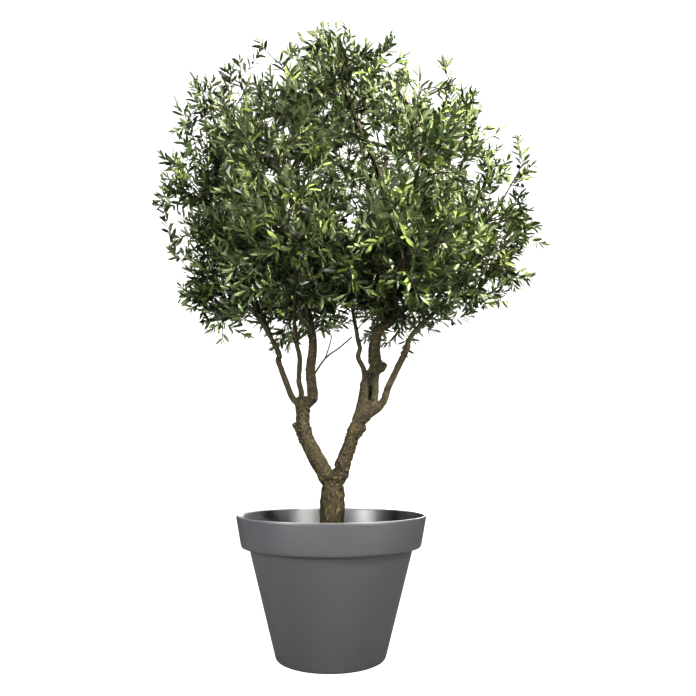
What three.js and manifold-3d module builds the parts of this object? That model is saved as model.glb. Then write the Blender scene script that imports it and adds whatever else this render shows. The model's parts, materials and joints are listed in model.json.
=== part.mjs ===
// Olive tree in a round banded planter, as a three.js scene graph. Millimetres, +Z up.
// The origin is the centre of the planter's flat underside; +X is to the right and +Y is away from the front.
import * as THREE from "three";
import { mergeVertices } from "three/addons/utils/BufferGeometryUtils.js";
import Module from "manifold-3d";

const wasm = await Module();
wasm.setup();

const GAP = 0.3; // running gap between solids that touch in life
const GOLDEN_TURN = Math.PI * (3 - Math.sqrt(5));

// ---------------------------------------------------------------- driving dimensions

const planter = {
  height: 418,
  rimRadius: 297,
  bandHeight: 92,
  bandFootRadius: 280,
  shoulderRadius: 256, // the wall just below the band
  footRadius: 166,
  wall: 5,
  floor: 8,
  edgeRound: 8,
  sides: 40,
};
const soil = { belowRim: 96, wallGap: 1 };

const trunkFoot = new THREE.Vector3(0, 0, planter.height - soil.belowRim + GAP);
const footTrim = 10; // the trunk is grown from this far below its foot and cut off flat there

// A limb is grown in strides of [length, lean from upright, bearing], in millimetres and degrees.
// Bearing 0 is right, 90 away from the front, 180 left and 270 to the front. `at` is where on its
// parent it starts, from 0 at the foot to 1 at the tip. `to` names the foliage mass its tip ends in.
// A knot swells the limb, and a stub is what is left of a branch that was cut off.
const limbPlan = [
  {
    name: "trunk", thick: 38, thin: 29, flare: 9,
    strides: [[84, 1, 0], [108, 1, 0], [28, 3, 0]],
    knots: [{ at: 0.5, swell: 5, spread: 0.2 }, { at: 1, swell: 10, spread: 0.14 }],
  },
  {
    name: "left_main_bough", from: "trunk", at: 0.7, thick: 26, thin: 21.5,
    strides: [[50, 36, 182], [97, 27.6, 184], [26, 32, 184], [33, 16, 184], [36, 2, 180], [48, 3, 180]],
    knots: [{ at: 0.63, swell: 4, spread: 0.06 }, { at: 0.98, swell: 3, spread: 0.08 }],
    stubs: [{ at: 0.64, bearing: 180, radius: 12, length: 37 }],
  },
  {
    name: "right_main_bough", from: "trunk", at: 0.7, thick: 23, thin: 20.5,
    strides: [
      [47, 37, 0], [27, 4, 0], [43, 22, 2], [46, 20, 2], [26, 22, 2], [37, 19, 2], [79, 12, 2], [42, 3, 2],
    ],
    knots: [
      { at: 0.25, swell: 3, spread: 0.07 }, { at: 0.62, swell: 4, spread: 0.07 }, { at: 0.95, swell: -5, spread: 0.14 },
    ],
    stubs: [{ at: 0.6, bearing: 0, radius: 13, length: 44 }],
  },
  {
    name: "left_outer_limb", from: "left_main_bough", at: 0.97, thick: 10.5, thin: 7, to: "left_low",
    strides: [[37, 59, 190], [70, 23, 195], [60, 21, 195], [19, 5, 10], [36, 24, 200], [70, 31, 200]],
  },
  {
    name: "left_front_limb", from: "left_main_bough", at: 1, thick: 9.5, thin: 6.5, to: "front_left_low",
    strides: [[36, 9, 215], [35, 12, 200], [60, 5, 300], [30, 10, 220], [32, 19, 225]],
  },
  {
    name: "left_leader", from: "left_main_bough", at: 0.95, thick: 19, thin: 8, to: "top_left",
    strides: [
      [40, 48, 5], [42, 2, 90], [47, 6, 175], [47, 5, 40], [47, 5, 40], [38, 7, 150], [105, 12, 165],
      [120, 8, 200], [120, 6, 120],
    ],
  },
  {
    name: "right_outer_limb", from: "right_main_bough", at: 0.72, thick: 14, thin: 7.5, to: "right_low",
    strides: [[39, 42, 0], [48, 58, 0], [30, 40, 355], [40, 21, 350], [78, 26, 350], [64, 27, 350], [24, 12, 350]],
    knots: [{ at: 0.08, swell: 10, spread: 0.1 }],
  },
  {
    name: "right_leader", from: "right_main_bough", at: 1, thick: 20, thin: 8, to: "top_centre",
    strides: [
      [58, 37, 0], [50, 2, 180], [44, 6, 0], [45, 16, 10], [44, 53, 10], [44, 24, 20], [90, 3, 60],
      [110, 9, 150], [120, 10, 190], [110, 6, 60],
    ],
    knots: [
      { at: 0, swell: -6, spread: 0.05 }, { at: 0.09, swell: 3, spread: 0.05 }, { at: 0.18, swell: 2, spread: 0.08 },
    ],
    stubs: [{ at: 0.075, bearing: 0, radius: 12, length: 41 }],
  },
  {
    name: "link_limb", from: "right_outer_limb", at: 0.14, thick: 14, thin: 13,
    strides: [[60, 12, 0], [37, 3, 0], [46, 6, 0]],
  },
  {
    name: "right_inner_limb", from: "right_main_bough", at: 0.97, thick: 9, thin: 6.5, to: "low_centre",
    strides: [[52, 1, 200], [47, 26, 200], [30, 14, 330], [34, 15, 215]],
  },
  {
    name: "bare_spur", from: "left_leader", at: 0.205, thick: 2.6, thin: 2,
    strides: [[82, 33, 2], [59, 54, 350], [57, 50, 352]],
  },
  {
    name: "left_mid_limb", from: "left_outer_limb", at: 0.6, thick: 7, thin: 6, to: "left_mid",
    strides: [[70, 38, 120]],
  },
  { name: "left_high_limb", from: "left_leader", at: 0.6, thick: 10, thin: 6.5, to: "left_high" },
  { name: "back_left_low_limb", from: "left_leader", at: 0.42, thick: 10, thin: 6.5, to: "back_left_low" },
  { name: "back_left_limb", from: "left_leader", at: 0.66, thick: 9, thin: 6.5, to: "back_left" },
  { name: "front_left_limb", from: "left_leader", at: 0.52, thick: 10, thin: 6.5, to: "front_left" },
  { name: "right_mid_limb", from: "right_leader", at: 0.5, thick: 11, thin: 6.5, to: "right_mid" },
  { name: "right_high_limb", from: "right_leader", at: 0.72, thick: 9.5, thin: 6.5, to: "right_high" },
  { name: "top_right_limb", from: "right_leader", at: 0.82, thick: 8.5, thin: 6.5, to: "top_right" },
  { name: "front_right_low_limb", from: "right_leader", at: 0.34, thick: 9, thin: 6.5, to: "front_right_low" },
  { name: "front_right_limb", from: "right_leader", at: 0.57, thick: 10, thin: 6.5, to: "front_right" },
  { name: "front_high_limb", from: "right_leader", at: 0.76, thick: 9, thin: 6.5, to: "front_high" },
  { name: "back_right_low_limb", from: "right_leader", at: 0.42, thick: 9, thin: 6.5, to: "back_right_low" },
  { name: "back_right_limb", from: "right_leader", at: 0.62, thick: 10, thin: 6.5, to: "back_right" },
  { name: "back_high_limb", from: "right_leader", at: 0.79, thick: 9, thin: 6.5, to: "back_high" },
];

// The crown is a ring of foliage masses round an upright axis. A mass has a bearing and a distance
// out from that axis, the height of its middle, and its reach across, deep and high.
const crownAxis = { x: 52, y: 0 };
const massPlan = [
  { name: "left_low", bearing: 184, out: 405, height: 1190, reach: [240, 240, 230] },
  { name: "front_left_low", bearing: 240, out: 320, height: 1190, reach: [235, 235, 225] },
  { name: "front_right_low", bearing: 302, out: 330, height: 1180, reach: [235, 235, 225] },
  { name: "right_low", bearing: 356, out: 390, height: 1190, reach: [250, 240, 230] },
  { name: "back_right_low", bearing: 58, out: 340, height: 1200, reach: [240, 240, 230] },
  { name: "back_left_low", bearing: 122, out: 330, height: 1200, reach: [240, 240, 230] },
  { name: "low_centre", bearing: 270, out: 30, height: 1160, reach: [220, 210, 190] },
  { name: "left_mid", bearing: 178, out: 490, height: 1480, reach: [245, 245, 240] },
  { name: "front_left", bearing: 236, out: 385, height: 1490, reach: [240, 240, 235] },
  { name: "front_right", bearing: 304, out: 385, height: 1480, reach: [240, 240, 235] },
  { name: "right_mid", bearing: 2, out: 500, height: 1440, reach: [250, 245, 240] },
  { name: "back_right", bearing: 56, out: 395, height: 1490, reach: [240, 240, 235] },
  { name: "back_left", bearing: 124, out: 395, height: 1490, reach: [240, 240, 235] },
  { name: "left_high", bearing: 180, out: 420, height: 1770, reach: [235, 235, 230] },
  { name: "front_high", bearing: 268, out: 300, height: 1710, reach: [240, 240, 215] },
  { name: "right_high", bearing: 4, out: 410, height: 1715, reach: [235, 235, 230] },
  { name: "back_high", bearing: 92, out: 320, height: 1770, reach: [245, 240, 225] },
  { name: "top_left", bearing: 178, out: 200, height: 1900, reach: [225, 235, 200] },
  { name: "top_right", bearing: 4, out: 250, height: 1880, reach: [220, 230, 205] },
  { name: "top_centre", bearing: 90, out: 20, height: 1915, reach: [215, 205, 195] },
];
const massGap = 4; // clear space on each side of the plane between two masses

const twigPlan = {
  perMass: 7,
  backmost: -0.6, // how far the lowest twig leans back and the highest reaches on, from -1 to 1
  foremost: 0.9,
  lowest: 0.2, // where on the stem the lowest and the highest twig leave it
  highest: 0.96,
  thick: 3.4,
  thin: 1.8,
  stemThick: 5.6,
  stemThin: 3.4,
  leafRoom: 85, // how far short of the mass's edge a twig stops, for its end leaf
  shortest: 45,
  limbClearance: 3,
};
const leafPlan = {
  places: [6, 9, 12, 16, 19], // twentieths of the way along a twig
  length: 160,
  width: 50,
  thickness: 4,
  opening: 46,
  endOpening: 22,
  widestAt: 0.45,
  apart: 26, // how far two leaves of a mass stay from each other
};
const olivePlan = { everyMass: 2, onTwig: 3, length: 24, width: 18 };

// ---------------------------------------------------------------- finishes

const finish = (color, roughness) => new THREE.MeshStandardMaterial({ color, roughness, metalness: 0 });
const finishes = {
  planter: finish(0x616164, 0.5),
  soil: finish(0x33261b, 0.95),
  bark: finish(0x6b5c3c, 0.85),
  foliage: finish(0x4c5f33, 0.6),
};

// ---------------------------------------------------------------- solids

function solidOf(geometry) {
  const bare = geometry.clone();
  bare.deleteAttribute("normal");
  bare.deleteAttribute("uv");
  const merged = mergeVertices(bare, 1e-3);
  return new wasm.Manifold(
    new wasm.Mesh({
      numProp: 3,
      vertProperties: new Float32Array(merged.attributes.position.array),
      triVerts: new Uint32Array(merged.index.array),
    }),
  );
}

function geometryOf(solid) {
  const { vertProperties, triVerts, numProp } = solid.getMesh();
  const positions = new Float32Array((vertProperties.length / numProp) * 3);
  for (let i = 0; i * numProp < vertProperties.length; i++) {
    positions.set(vertProperties.subarray(i * numProp, i * numProp + 3), i * 3);
  }
  const geometry = new THREE.BufferGeometry();
  geometry.setAttribute("position", new THREE.BufferAttribute(positions, 3));
  geometry.setIndex(new THREE.BufferAttribute(new Uint32Array(triVerts), 1));
  geometry.computeVertexNormals();
  return geometry;
}

// The main body of a solid, without loose scraps or the skins of sealed hollows.
function mainBody(solid) {
  return solid.decompose().reduce((a, b) => (b.volume() > a.volume() ? b : a));
}

const tree = new THREE.Group();

function addNode(name, geometry, material) {
  const mesh = new THREE.Mesh(geometry, material);
  mesh.name = name;
  tree.add(mesh);
}

// ---------------------------------------------------------------- curves

const radians = THREE.MathUtils.degToRad;

function headingOf(lean, bearing) {
  const side = Math.sin(radians(lean));
  return new THREE.Vector3(
    side * Math.cos(radians(bearing)),
    side * Math.sin(radians(bearing)),
    Math.cos(radians(lean)),
  );
}

// Two directions square to `along`, the same wherever that direction occurs.
function acrossPair(along) {
  const reference = Math.abs(along.z) < 0.9 ? new THREE.Vector3(0, 0, 1) : new THREE.Vector3(1, 0, 0);
  const u = new THREE.Vector3().crossVectors(along, reference).normalize();
  const v = new THREE.Vector3().crossVectors(along, u);
  return [u, v];
}

// Places spaced evenly along a curve, each with two directions square to it that never spin round it.
function framesAlong(curve, steps) {
  let [u] = acrossPair(curve.getTangent(0));
  return Array.from({ length: steps + 1 }, (_, i) => {
    const along = curve.getTangent(i / steps);
    u = u.clone().addScaledVector(along, -u.dot(along)).normalize();
    return { centre: curve.getPoint(i / steps), along, u, v: new THREE.Vector3().crossVectors(u, along) };
  });
}

// The direction at `turn` round a place on a curve, and square to the curve.
function sideways({ u, v }, turn) {
  return u.clone().multiplyScalar(Math.sin(turn)).addScaledVector(v, Math.cos(turn));
}

// A closed round bar along a curve: a unit cylinder whose rings are moved onto the curve.
function barAlong(curve, radiusAt, sides, steps) {
  const bar = new THREE.CylinderGeometry(1, 1, 1, sides, steps);
  const frames = framesAlong(curve, steps);
  const position = bar.attributes.position;
  for (let i = 0; i < position.count; i++) {
    const ring = Math.round((position.getY(i) + 0.5) * steps);
    const radius = radiusAt(ring / steps);
    const p = frames[ring].centre
      .clone()
      .addScaledVector(frames[ring].u, position.getX(i) * radius)
      .addScaledVector(frames[ring].v, position.getZ(i) * radius);
    position.setXYZ(i, p.x, p.y, p.z);
  }
  return bar;
}

// Numbers from 0 to 1 in a fixed order for each seed.
function dice(seed) {
  let state = seed;
  return () => {
    state = (state * 16807) % 2147483647;
    return state / 2147483647;
  };
}

// ---------------------------------------------------------------- crown spaces

const masses = massPlan.map((plan, number) => ({
  ...plan,
  number,
  seed: 101 + number * 37,
  reach: new THREE.Vector3(...plan.reach),
  size: (plan.reach[0] + plan.reach[1] + plan.reach[2]) / 3,
  centre: new THREE.Vector3(
    crownAxis.x + plan.out * Math.cos(radians(plan.bearing)),
    crownAxis.y + plan.out * Math.sin(radians(plan.bearing)),
    plan.height,
  ),
}));
for (const mass of masses) {
  mass.walls = masses
    .filter((other) => other !== mass)
    .map((other) => {
      const normal = other.centre.clone().sub(mass.centre);
      const apart = normal.length();
      return { normal: normal.normalize(), limit: (apart * mass.size) / (mass.size + other.size) - massGap };
    });
}
const massNamed = Object.fromEntries(masses.map((mass) => [mass.name, mass]));

function insideMass(mass, point) {
  const offset = point.clone().sub(mass.centre);
  return (
    offset.clone().divide(mass.reach).lengthSq() <= 1 &&
    mass.walls.every(({ normal, limit }) => offset.dot(normal) <= limit)
  );
}

// ---------------------------------------------------------------- limbs

const tipDepth = 0.74; // a limb's tip lies this share of the reach from its mass's middle

function limbCurve(plan, parent) {
  const foot = parent ? parent.curve.getPoint(plan.at) : trunkFoot.clone().setZ(trunkFoot.z - footTrim);
  const points = [foot.clone()];
  let heading = parent ? parent.curve.getTangent(plan.at) : new THREE.Vector3(0, 0, 1);
  for (const [length, lean, bearing] of plan.strides ?? []) {
    heading = headingOf(lean, bearing);
    points.push(points.at(-1).clone().addScaledVector(heading, length));
  }
  if (plan.to) {
    const mass = massNamed[plan.to];
    const start = points.at(-1);
    const toMass = mass.centre.clone().sub(start);
    const run = Math.max(toMass.length() - tipDepth * mass.size, 60);
    const tip = start.clone().addScaledVector(toMass.clone().normalize(), run);
    const turn = start.clone().addScaledVector(heading.clone().lerp(toMass.clone().normalize(), 0.35), run * 0.45);
    const sweep = new THREE.QuadraticBezierCurve3(start.clone(), turn, tip);
    points.push(...[1 / 3, 2 / 3, 1].map((t) => sweep.getPoint(t)));
  }
  return new THREE.CatmullRomCurve3(points, false, "catmullrom", 0.5);
}

function limbRadius(plan, t) {
  const taper = plan.thick + (plan.thin - plan.thick) * t;
  const flare = (plan.flare ?? 0) * Math.exp(-t * 7);
  const swells = (plan.knots ?? []).map(({ at, swell, spread }) => swell * Math.exp(-(((t - at) / spread) ** 2)));
  return swells.reduce((sum, swell) => sum + swell, taper + flare);
}

function stubBar(limb, { at, bearing, radius, length }) {
  const start = limb.curve.getPoint(at);
  const end = start.clone().addScaledVector(headingOf(62, bearing), length);
  return barAlong(new THREE.LineCurve3(start, end), () => radius, 7, 1);
}

function limbSolid(limb, extra) {
  const sides = limb.plan.thick > 15 ? 10 : limb.plan.strides ? 7 : 6;
  const steps = (limb.curve.points.length - 1) * (limb.plan.flare ? 2 : 1);
  const growth = extra / Math.cos(Math.PI / sides);
  let solid = solidOf(barAlong(limb.curve, (t) => limbRadius(limb.plan, t) + growth, sides, steps));
  for (const stub of limb.plan.stubs ?? []) {
    solid = solid.add(solidOf(stubBar(limb, { ...stub, radius: stub.radius + growth, length: stub.length + extra })));
  }
  return solid;
}

const limbs = [];
const limbNamed = {};
for (const plan of limbPlan) {
  const limb = { plan, curve: limbCurve(plan, limbNamed[plan.from]) };
  limbs.push(limb);
  limbNamed[plan.name] = limb;
}

// Each limb is cut clear of its parent and of every limb before it.
function addLimbs() {
  let earlier = null;
  for (const limb of limbs) {
    const whole = limbSolid(limb, 0).trimByPlane([0, 0, 1], trunkFoot.z);
    const solid = earlier ? whole.subtract(earlier) : whole;
    addNode(limb.plan.name, geometryOf(mainBody(solid)), finishes.bark);
    const swollen = limbSolid(limb, GAP);
    earlier = earlier ? earlier.add(swollen) : swollen;
  }
}

// Points along every limb with its radius there, for keeping twigs and leaves off the limbs.
const limbSampleStep = 12;
const limbSamples = limbs.flatMap(({ plan, curve }) => {
  const count = Math.ceil(curve.getLength() / limbSampleStep);
  return Array.from({ length: count + 1 }, (_, i) => ({
    point: curve.getPoint(i / count),
    radius: limbRadius(plan, i / count),
  }));
});

function clearOfLimbs(point, room) {
  return limbSamples.every((sample) => sample.point.distanceTo(point) > sample.radius + room);
}

const limbGuard = wasm.Manifold.union(limbs.map((limb) => limbSolid(limb, twigPlan.limbClearance)));

function touchesLimb(solid) {
  return !limbGuard.intersect(solid).isEmpty();
}

// ---------------------------------------------------------------- foliage

// The stem of a mass: on from its limb's tip, through the middle of the mass.
function stemOf(mass) {
  const { curve } = limbs.find(({ plan }) => plan.to === mass.name);
  const tip = curve.getPoint(1);
  const along = curve.getTangent(1);
  const foot = tip.clone().addScaledVector(along, GAP);
  const onward = mass.centre.clone().sub(tip);
  let reach = 1.4;
  let end = mass.centre;
  do {
    end = tip.clone().addScaledVector(onward, reach);
    reach -= 0.05;
  } while (reach > 0.5 && !insideMass(mass, end));
  const turn = foot.clone().addScaledVector(along, onward.length() * 0.45);
  return new THREE.QuadraticBezierCurve3(foot, turn, end);
}

// Twig number `index` of a mass: from the stem out to a spot near the edge of the mass's space.
// The twigs leave the stem one above another, each a golden turn further round it and, from the
// foot to the tip, from leaning back to reaching on. Each takes two rolls of the dice, used or not.
function twigOf(mass, stem, index, roll) {
  const [turnRoll, outRoll] = [roll(), roll()];
  const share = (index + 0.5) / twigPlan.perMass;
  const { backmost, foremost, lowest, highest } = twigPlan;
  const axis = mass.centre.clone().sub(stem.v0).normalize();
  const [u, v] = acrossPair(axis);
  const rise = backmost + (foremost - backmost) * share;
  const outward = sideways({ u, v }, index * GOLDEN_TURN + turnRoll * 0.6 + mass.seed)
    .multiplyScalar(Math.sqrt(1 - rise * rise))
    .addScaledVector(axis, rise);
  const edge = 1 / outward.clone().divide(mass.reach).length();
  const spot = mass.centre.clone().addScaledVector(outward, edge * (0.92 + 0.08 * outRoll) - twigPlan.leafRoom);
  const foot = stem.getPoint(lowest + (highest - lowest) * share);
  const run = spot.clone().sub(foot);
  const lift = axis.clone().multiplyScalar(0.5).add(new THREE.Vector3(0, 0, 0.35));
  const bend = foot.clone().addScaledVector(run, 0.4).addScaledVector(lift, run.length() * 0.25);
  const whole = new THREE.QuadraticBezierCurve3(foot, bend, spot);
  const free = freeStretch(mass, whole);
  if (free * run.length() < twigPlan.shortest) {
    return null;
  }
  return free === 1 ? whole : firstPart(whole, free);
}

// The share of a twig, from its foot, that stays in the mass's space and off the limbs.
function freeStretch(mass, curve) {
  const checks = 20;
  for (let i = 3; i <= checks; i++) {
    const point = curve.getPoint(i / checks);
    if (!insideMass(mass, point) || !clearOfLimbs(point, twigPlan.thick + twigPlan.limbClearance)) {
      return (i - 1) / checks;
    }
  }
  return 1;
}

function firstPart(curve, share) {
  const turn = curve.v0.clone().lerp(curve.v1, share);
  return new THREE.QuadraticBezierCurve3(curve.v0, turn, curve.getPoint(share));
}

// A leaf blade: root and tip on a keel below, and the two edges level with the top.
function leafGeometry(root, along, face, length) {
  const across = new THREE.Vector3().crossVectors(face, along).normalize();
  const up = new THREE.Vector3().crossVectors(along, across);
  const top = root.clone().addScaledVector(along, leafPlan.widestAt * length).addScaledVector(up, leafPlan.thickness);
  const corners = [
    root,
    root.clone().addScaledVector(along, length),
    top.clone().addScaledVector(across, leafPlan.width / 2),
    top.clone().addScaledVector(across, -leafPlan.width / 2),
  ];
  const leaf = new THREE.BufferGeometry().setFromPoints(corners);
  leaf.setIndex([0, 2, 1, 0, 1, 3, 1, 2, 3, 0, 3, 2]);
  return leaf;
}

// The spots on a leaf that have to be free, none where it springs from its twig.
function leafSpots(root, along, face, length) {
  const across = new THREE.Vector3().crossVectors(along, face).normalize();
  const widest = root.clone().addScaledVector(along, leafPlan.widestAt * length);
  return [
    root.clone().addScaledVector(along, length),
    root.clone().addScaledVector(along, 0.72 * length),
    widest.clone(),
    widest.clone().addScaledVector(across, leafPlan.width / 2),
    widest.clone().addScaledVector(across, -leafPlan.width / 2),
  ];
}

function spotsFree(mass, spots, taken) {
  return spots.every(
    (spot) => insideMass(mass, spot) && taken.every((other) => other.distanceTo(spot) > leafPlan.apart),
  );
}

// A leaf stands on one of the three faces of its twig. It tries the next face, and then a smaller
// size, until it fits or is left out.
function leavesOf(mass, twig, taken, roll) {
  const solids = [];
  const frames = framesAlong(twig, leafPlan.places.at(-1) + 1);
  leafPlan.places.forEach((place, j) => {
    const [lengthRoll, turnRoll] = [roll(), roll()];
    const { centre: root, along: onward } = frames[place];
    const opening = radians(j === leafPlan.places.length - 1 ? leafPlan.endOpening : leafPlan.opening);
    for (let attempt = 0; attempt < 12; attempt++) {
      const length = leafPlan.length * (0.9 + 0.25 * lengthRoll) * (1 - 0.15 * Math.floor(attempt / 3));
      const turn = radians(60 + 120 * (j + attempt + Math.floor(3 * turnRoll)));
      const side = sideways(frames[place], turn);
      const along = onward.clone().multiplyScalar(Math.cos(opening)).addScaledVector(side, Math.sin(opening));
      const face = side.clone().addScaledVector(onward, -1);
      const spots = leafSpots(root, along, face, length);
      const leaf = spotsFree(mass, spots, taken) ? solidOf(leafGeometry(root, along, face, length)) : null;
      if (leaf && !touchesLimb(leaf)) {
        taken.push(...spots);
        solids.push(leaf);
        break;
      }
    }
  });
  return solids;
}

// An olive hangs under its twig, sunk into it by a third of its length.
function oliveOf(mass, twig) {
  const spot = twig.getPoint(0.72).add(new THREE.Vector3(0, 0, -olivePlan.length / 3));
  if (!insideMass(mass, spot) || !clearOfLimbs(spot, olivePlan.length)) {
    return [];
  }
  const olive = new THREE.IcosahedronGeometry(olivePlan.width / 2, 0);
  olive.scale(1, 1, olivePlan.length / olivePlan.width);
  olive.translate(spot.x, spot.y, spot.z);
  return [solidOf(olive)];
}

function addMass(mass) {
  const roll = dice(mass.seed);
  const leafRoll = dice(mass.seed + 5000);
  const stem = stemOf(mass);
  const { stemThick, stemThin, thick, thin, perMass } = twigPlan;
  const parts = [solidOf(barAlong(stem, (t) => stemThick + (stemThin - stemThick) * t, 3, 3))];
  const taken = [];
  for (let index = 0; index < perMass; index++) {
    const twig = twigOf(mass, stem, index, roll);
    if (!twig) {
      continue;
    }
    parts.push(solidOf(barAlong(twig, (t) => thick + (thin - thick) * t, 3, 2)));
    parts.push(...leavesOf(mass, twig, taken, leafRoll));
    if (index === olivePlan.onTwig && mass.number % olivePlan.everyMass === 0) {
      parts.push(...oliveOf(mass, twig));
    }
  }
  const fused = wasm.Manifold.union(parts).simplify(0.1);
  addNode("foliage_" + mass.name, geometryOf(mainBody(fused)), finishes.foliage);
}

// ---------------------------------------------------------------- planter and soil

const bandFoot = planter.height - planter.bandHeight;

// The outer radius of the plain wall below the band at a height.
function wallRadius(height) {
  return planter.footRadius + ((planter.shoulderRadius - planter.footRadius) * height) / bandFoot;
}

function lathe(outline, sides) {
  const profile = outline.map(([radius, height]) => new THREE.Vector2(radius, height));
  const turned = new THREE.LatheGeometry(profile, sides);
  turned.rotateX(Math.PI / 2);
  return turned;
}

function addPlanter() {
  const { height, rimRadius, bandFootRadius, footRadius, wall, floor, edgeRound, sides } = planter;
  const outline = [
    [0, 0],
    [footRadius - edgeRound, 0],
    [wallRadius(edgeRound), edgeRound],
    [wallRadius(bandFoot), bandFoot],
    [bandFootRadius - 3, bandFoot],
    [bandFootRadius, bandFoot + 4],
    [rimRadius, height - 2],
    [rimRadius - 2, height],
    [rimRadius - wall, height],
    [rimRadius - wall - 1, height - 3],
    [bandFootRadius - wall, bandFoot + wall],
    [wallRadius(bandFoot + wall) - wall, bandFoot + wall],
    [wallRadius(floor) - wall, floor],
    [0, floor],
  ];
  addNode("planter", geometryOf(solidOf(lathe(outline, sides))), finishes.planter);
}

function addSoil() {
  const { height, wall, floor, sides } = planter;
  const top = height - soil.belowRim;
  const foot = floor + GAP;
  const outline = [
    [0, foot],
    [wallRadius(foot) - wall - soil.wallGap, foot],
    [wallRadius(top) - wall - soil.wallGap, top],
    [0, top],
  ];
  addNode("soil", geometryOf(solidOf(lathe(outline, sides / 2))), finishes.soil);
}

addPlanter();
addSoil();
addLimbs();
masses.forEach(addMass);

export default tree;
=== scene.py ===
"""Olive tree in a round banded planter: bark, twigs, leaves, fruit, planter, soil and studio.

The growth tables and rules work in millimetres; a mesh is turned into metres as it is made.
+Z is up, +X is to the right and +Y is away from the front. The origin is under the planter.
"""

import json
import math
import random

import bpy
import numpy as np
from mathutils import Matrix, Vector, kdtree, noise

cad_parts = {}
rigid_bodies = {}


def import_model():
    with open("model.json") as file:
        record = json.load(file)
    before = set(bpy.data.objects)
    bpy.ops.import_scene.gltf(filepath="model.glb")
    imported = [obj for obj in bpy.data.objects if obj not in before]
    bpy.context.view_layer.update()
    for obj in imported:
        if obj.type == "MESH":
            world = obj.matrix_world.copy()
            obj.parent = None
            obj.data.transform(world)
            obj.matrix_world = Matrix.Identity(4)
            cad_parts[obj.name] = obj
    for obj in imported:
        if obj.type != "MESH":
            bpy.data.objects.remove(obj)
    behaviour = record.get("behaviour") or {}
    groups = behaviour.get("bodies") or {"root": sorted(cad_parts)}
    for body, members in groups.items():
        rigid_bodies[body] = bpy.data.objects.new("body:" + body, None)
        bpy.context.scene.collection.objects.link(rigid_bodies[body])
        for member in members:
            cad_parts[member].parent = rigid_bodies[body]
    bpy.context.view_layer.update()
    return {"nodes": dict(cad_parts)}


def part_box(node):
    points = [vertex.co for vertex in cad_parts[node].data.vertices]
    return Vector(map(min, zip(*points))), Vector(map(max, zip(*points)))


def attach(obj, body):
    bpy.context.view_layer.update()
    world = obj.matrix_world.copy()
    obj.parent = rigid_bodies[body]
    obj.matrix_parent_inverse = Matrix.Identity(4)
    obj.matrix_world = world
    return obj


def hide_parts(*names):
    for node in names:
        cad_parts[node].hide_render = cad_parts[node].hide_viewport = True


bl_info = {
    "name": "Potted Olive Tree",
    "version": (1, 0, 0),
    "blender": (4, 5, 0),
    "location": "View3D > Sidebar > Olive",
    "description": "Grows an olive tree in a planter: bark, twigs, leaves, olives, soil and studio",
    "category": "Object",
}

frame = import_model()
NODES = sorted(frame["nodes"])

MM = 0.001
GAP = 0.3  # between a limb's tip and the stem that goes on from it
GOLDEN_TURN = math.pi * (3 - math.sqrt(5))
UP = np.array((0.0, 0.0, 1.0))


# ---------------------------------------------------------------- growth tables, in millimetres

SOIL_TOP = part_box("soil")[1].z / MM
TRUNK_FOOT = np.array((0.0, 0.0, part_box("trunk")[0].z / MM))
FOOT_TRIM = 10  # the trunk is grown from this far below its foot

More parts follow.
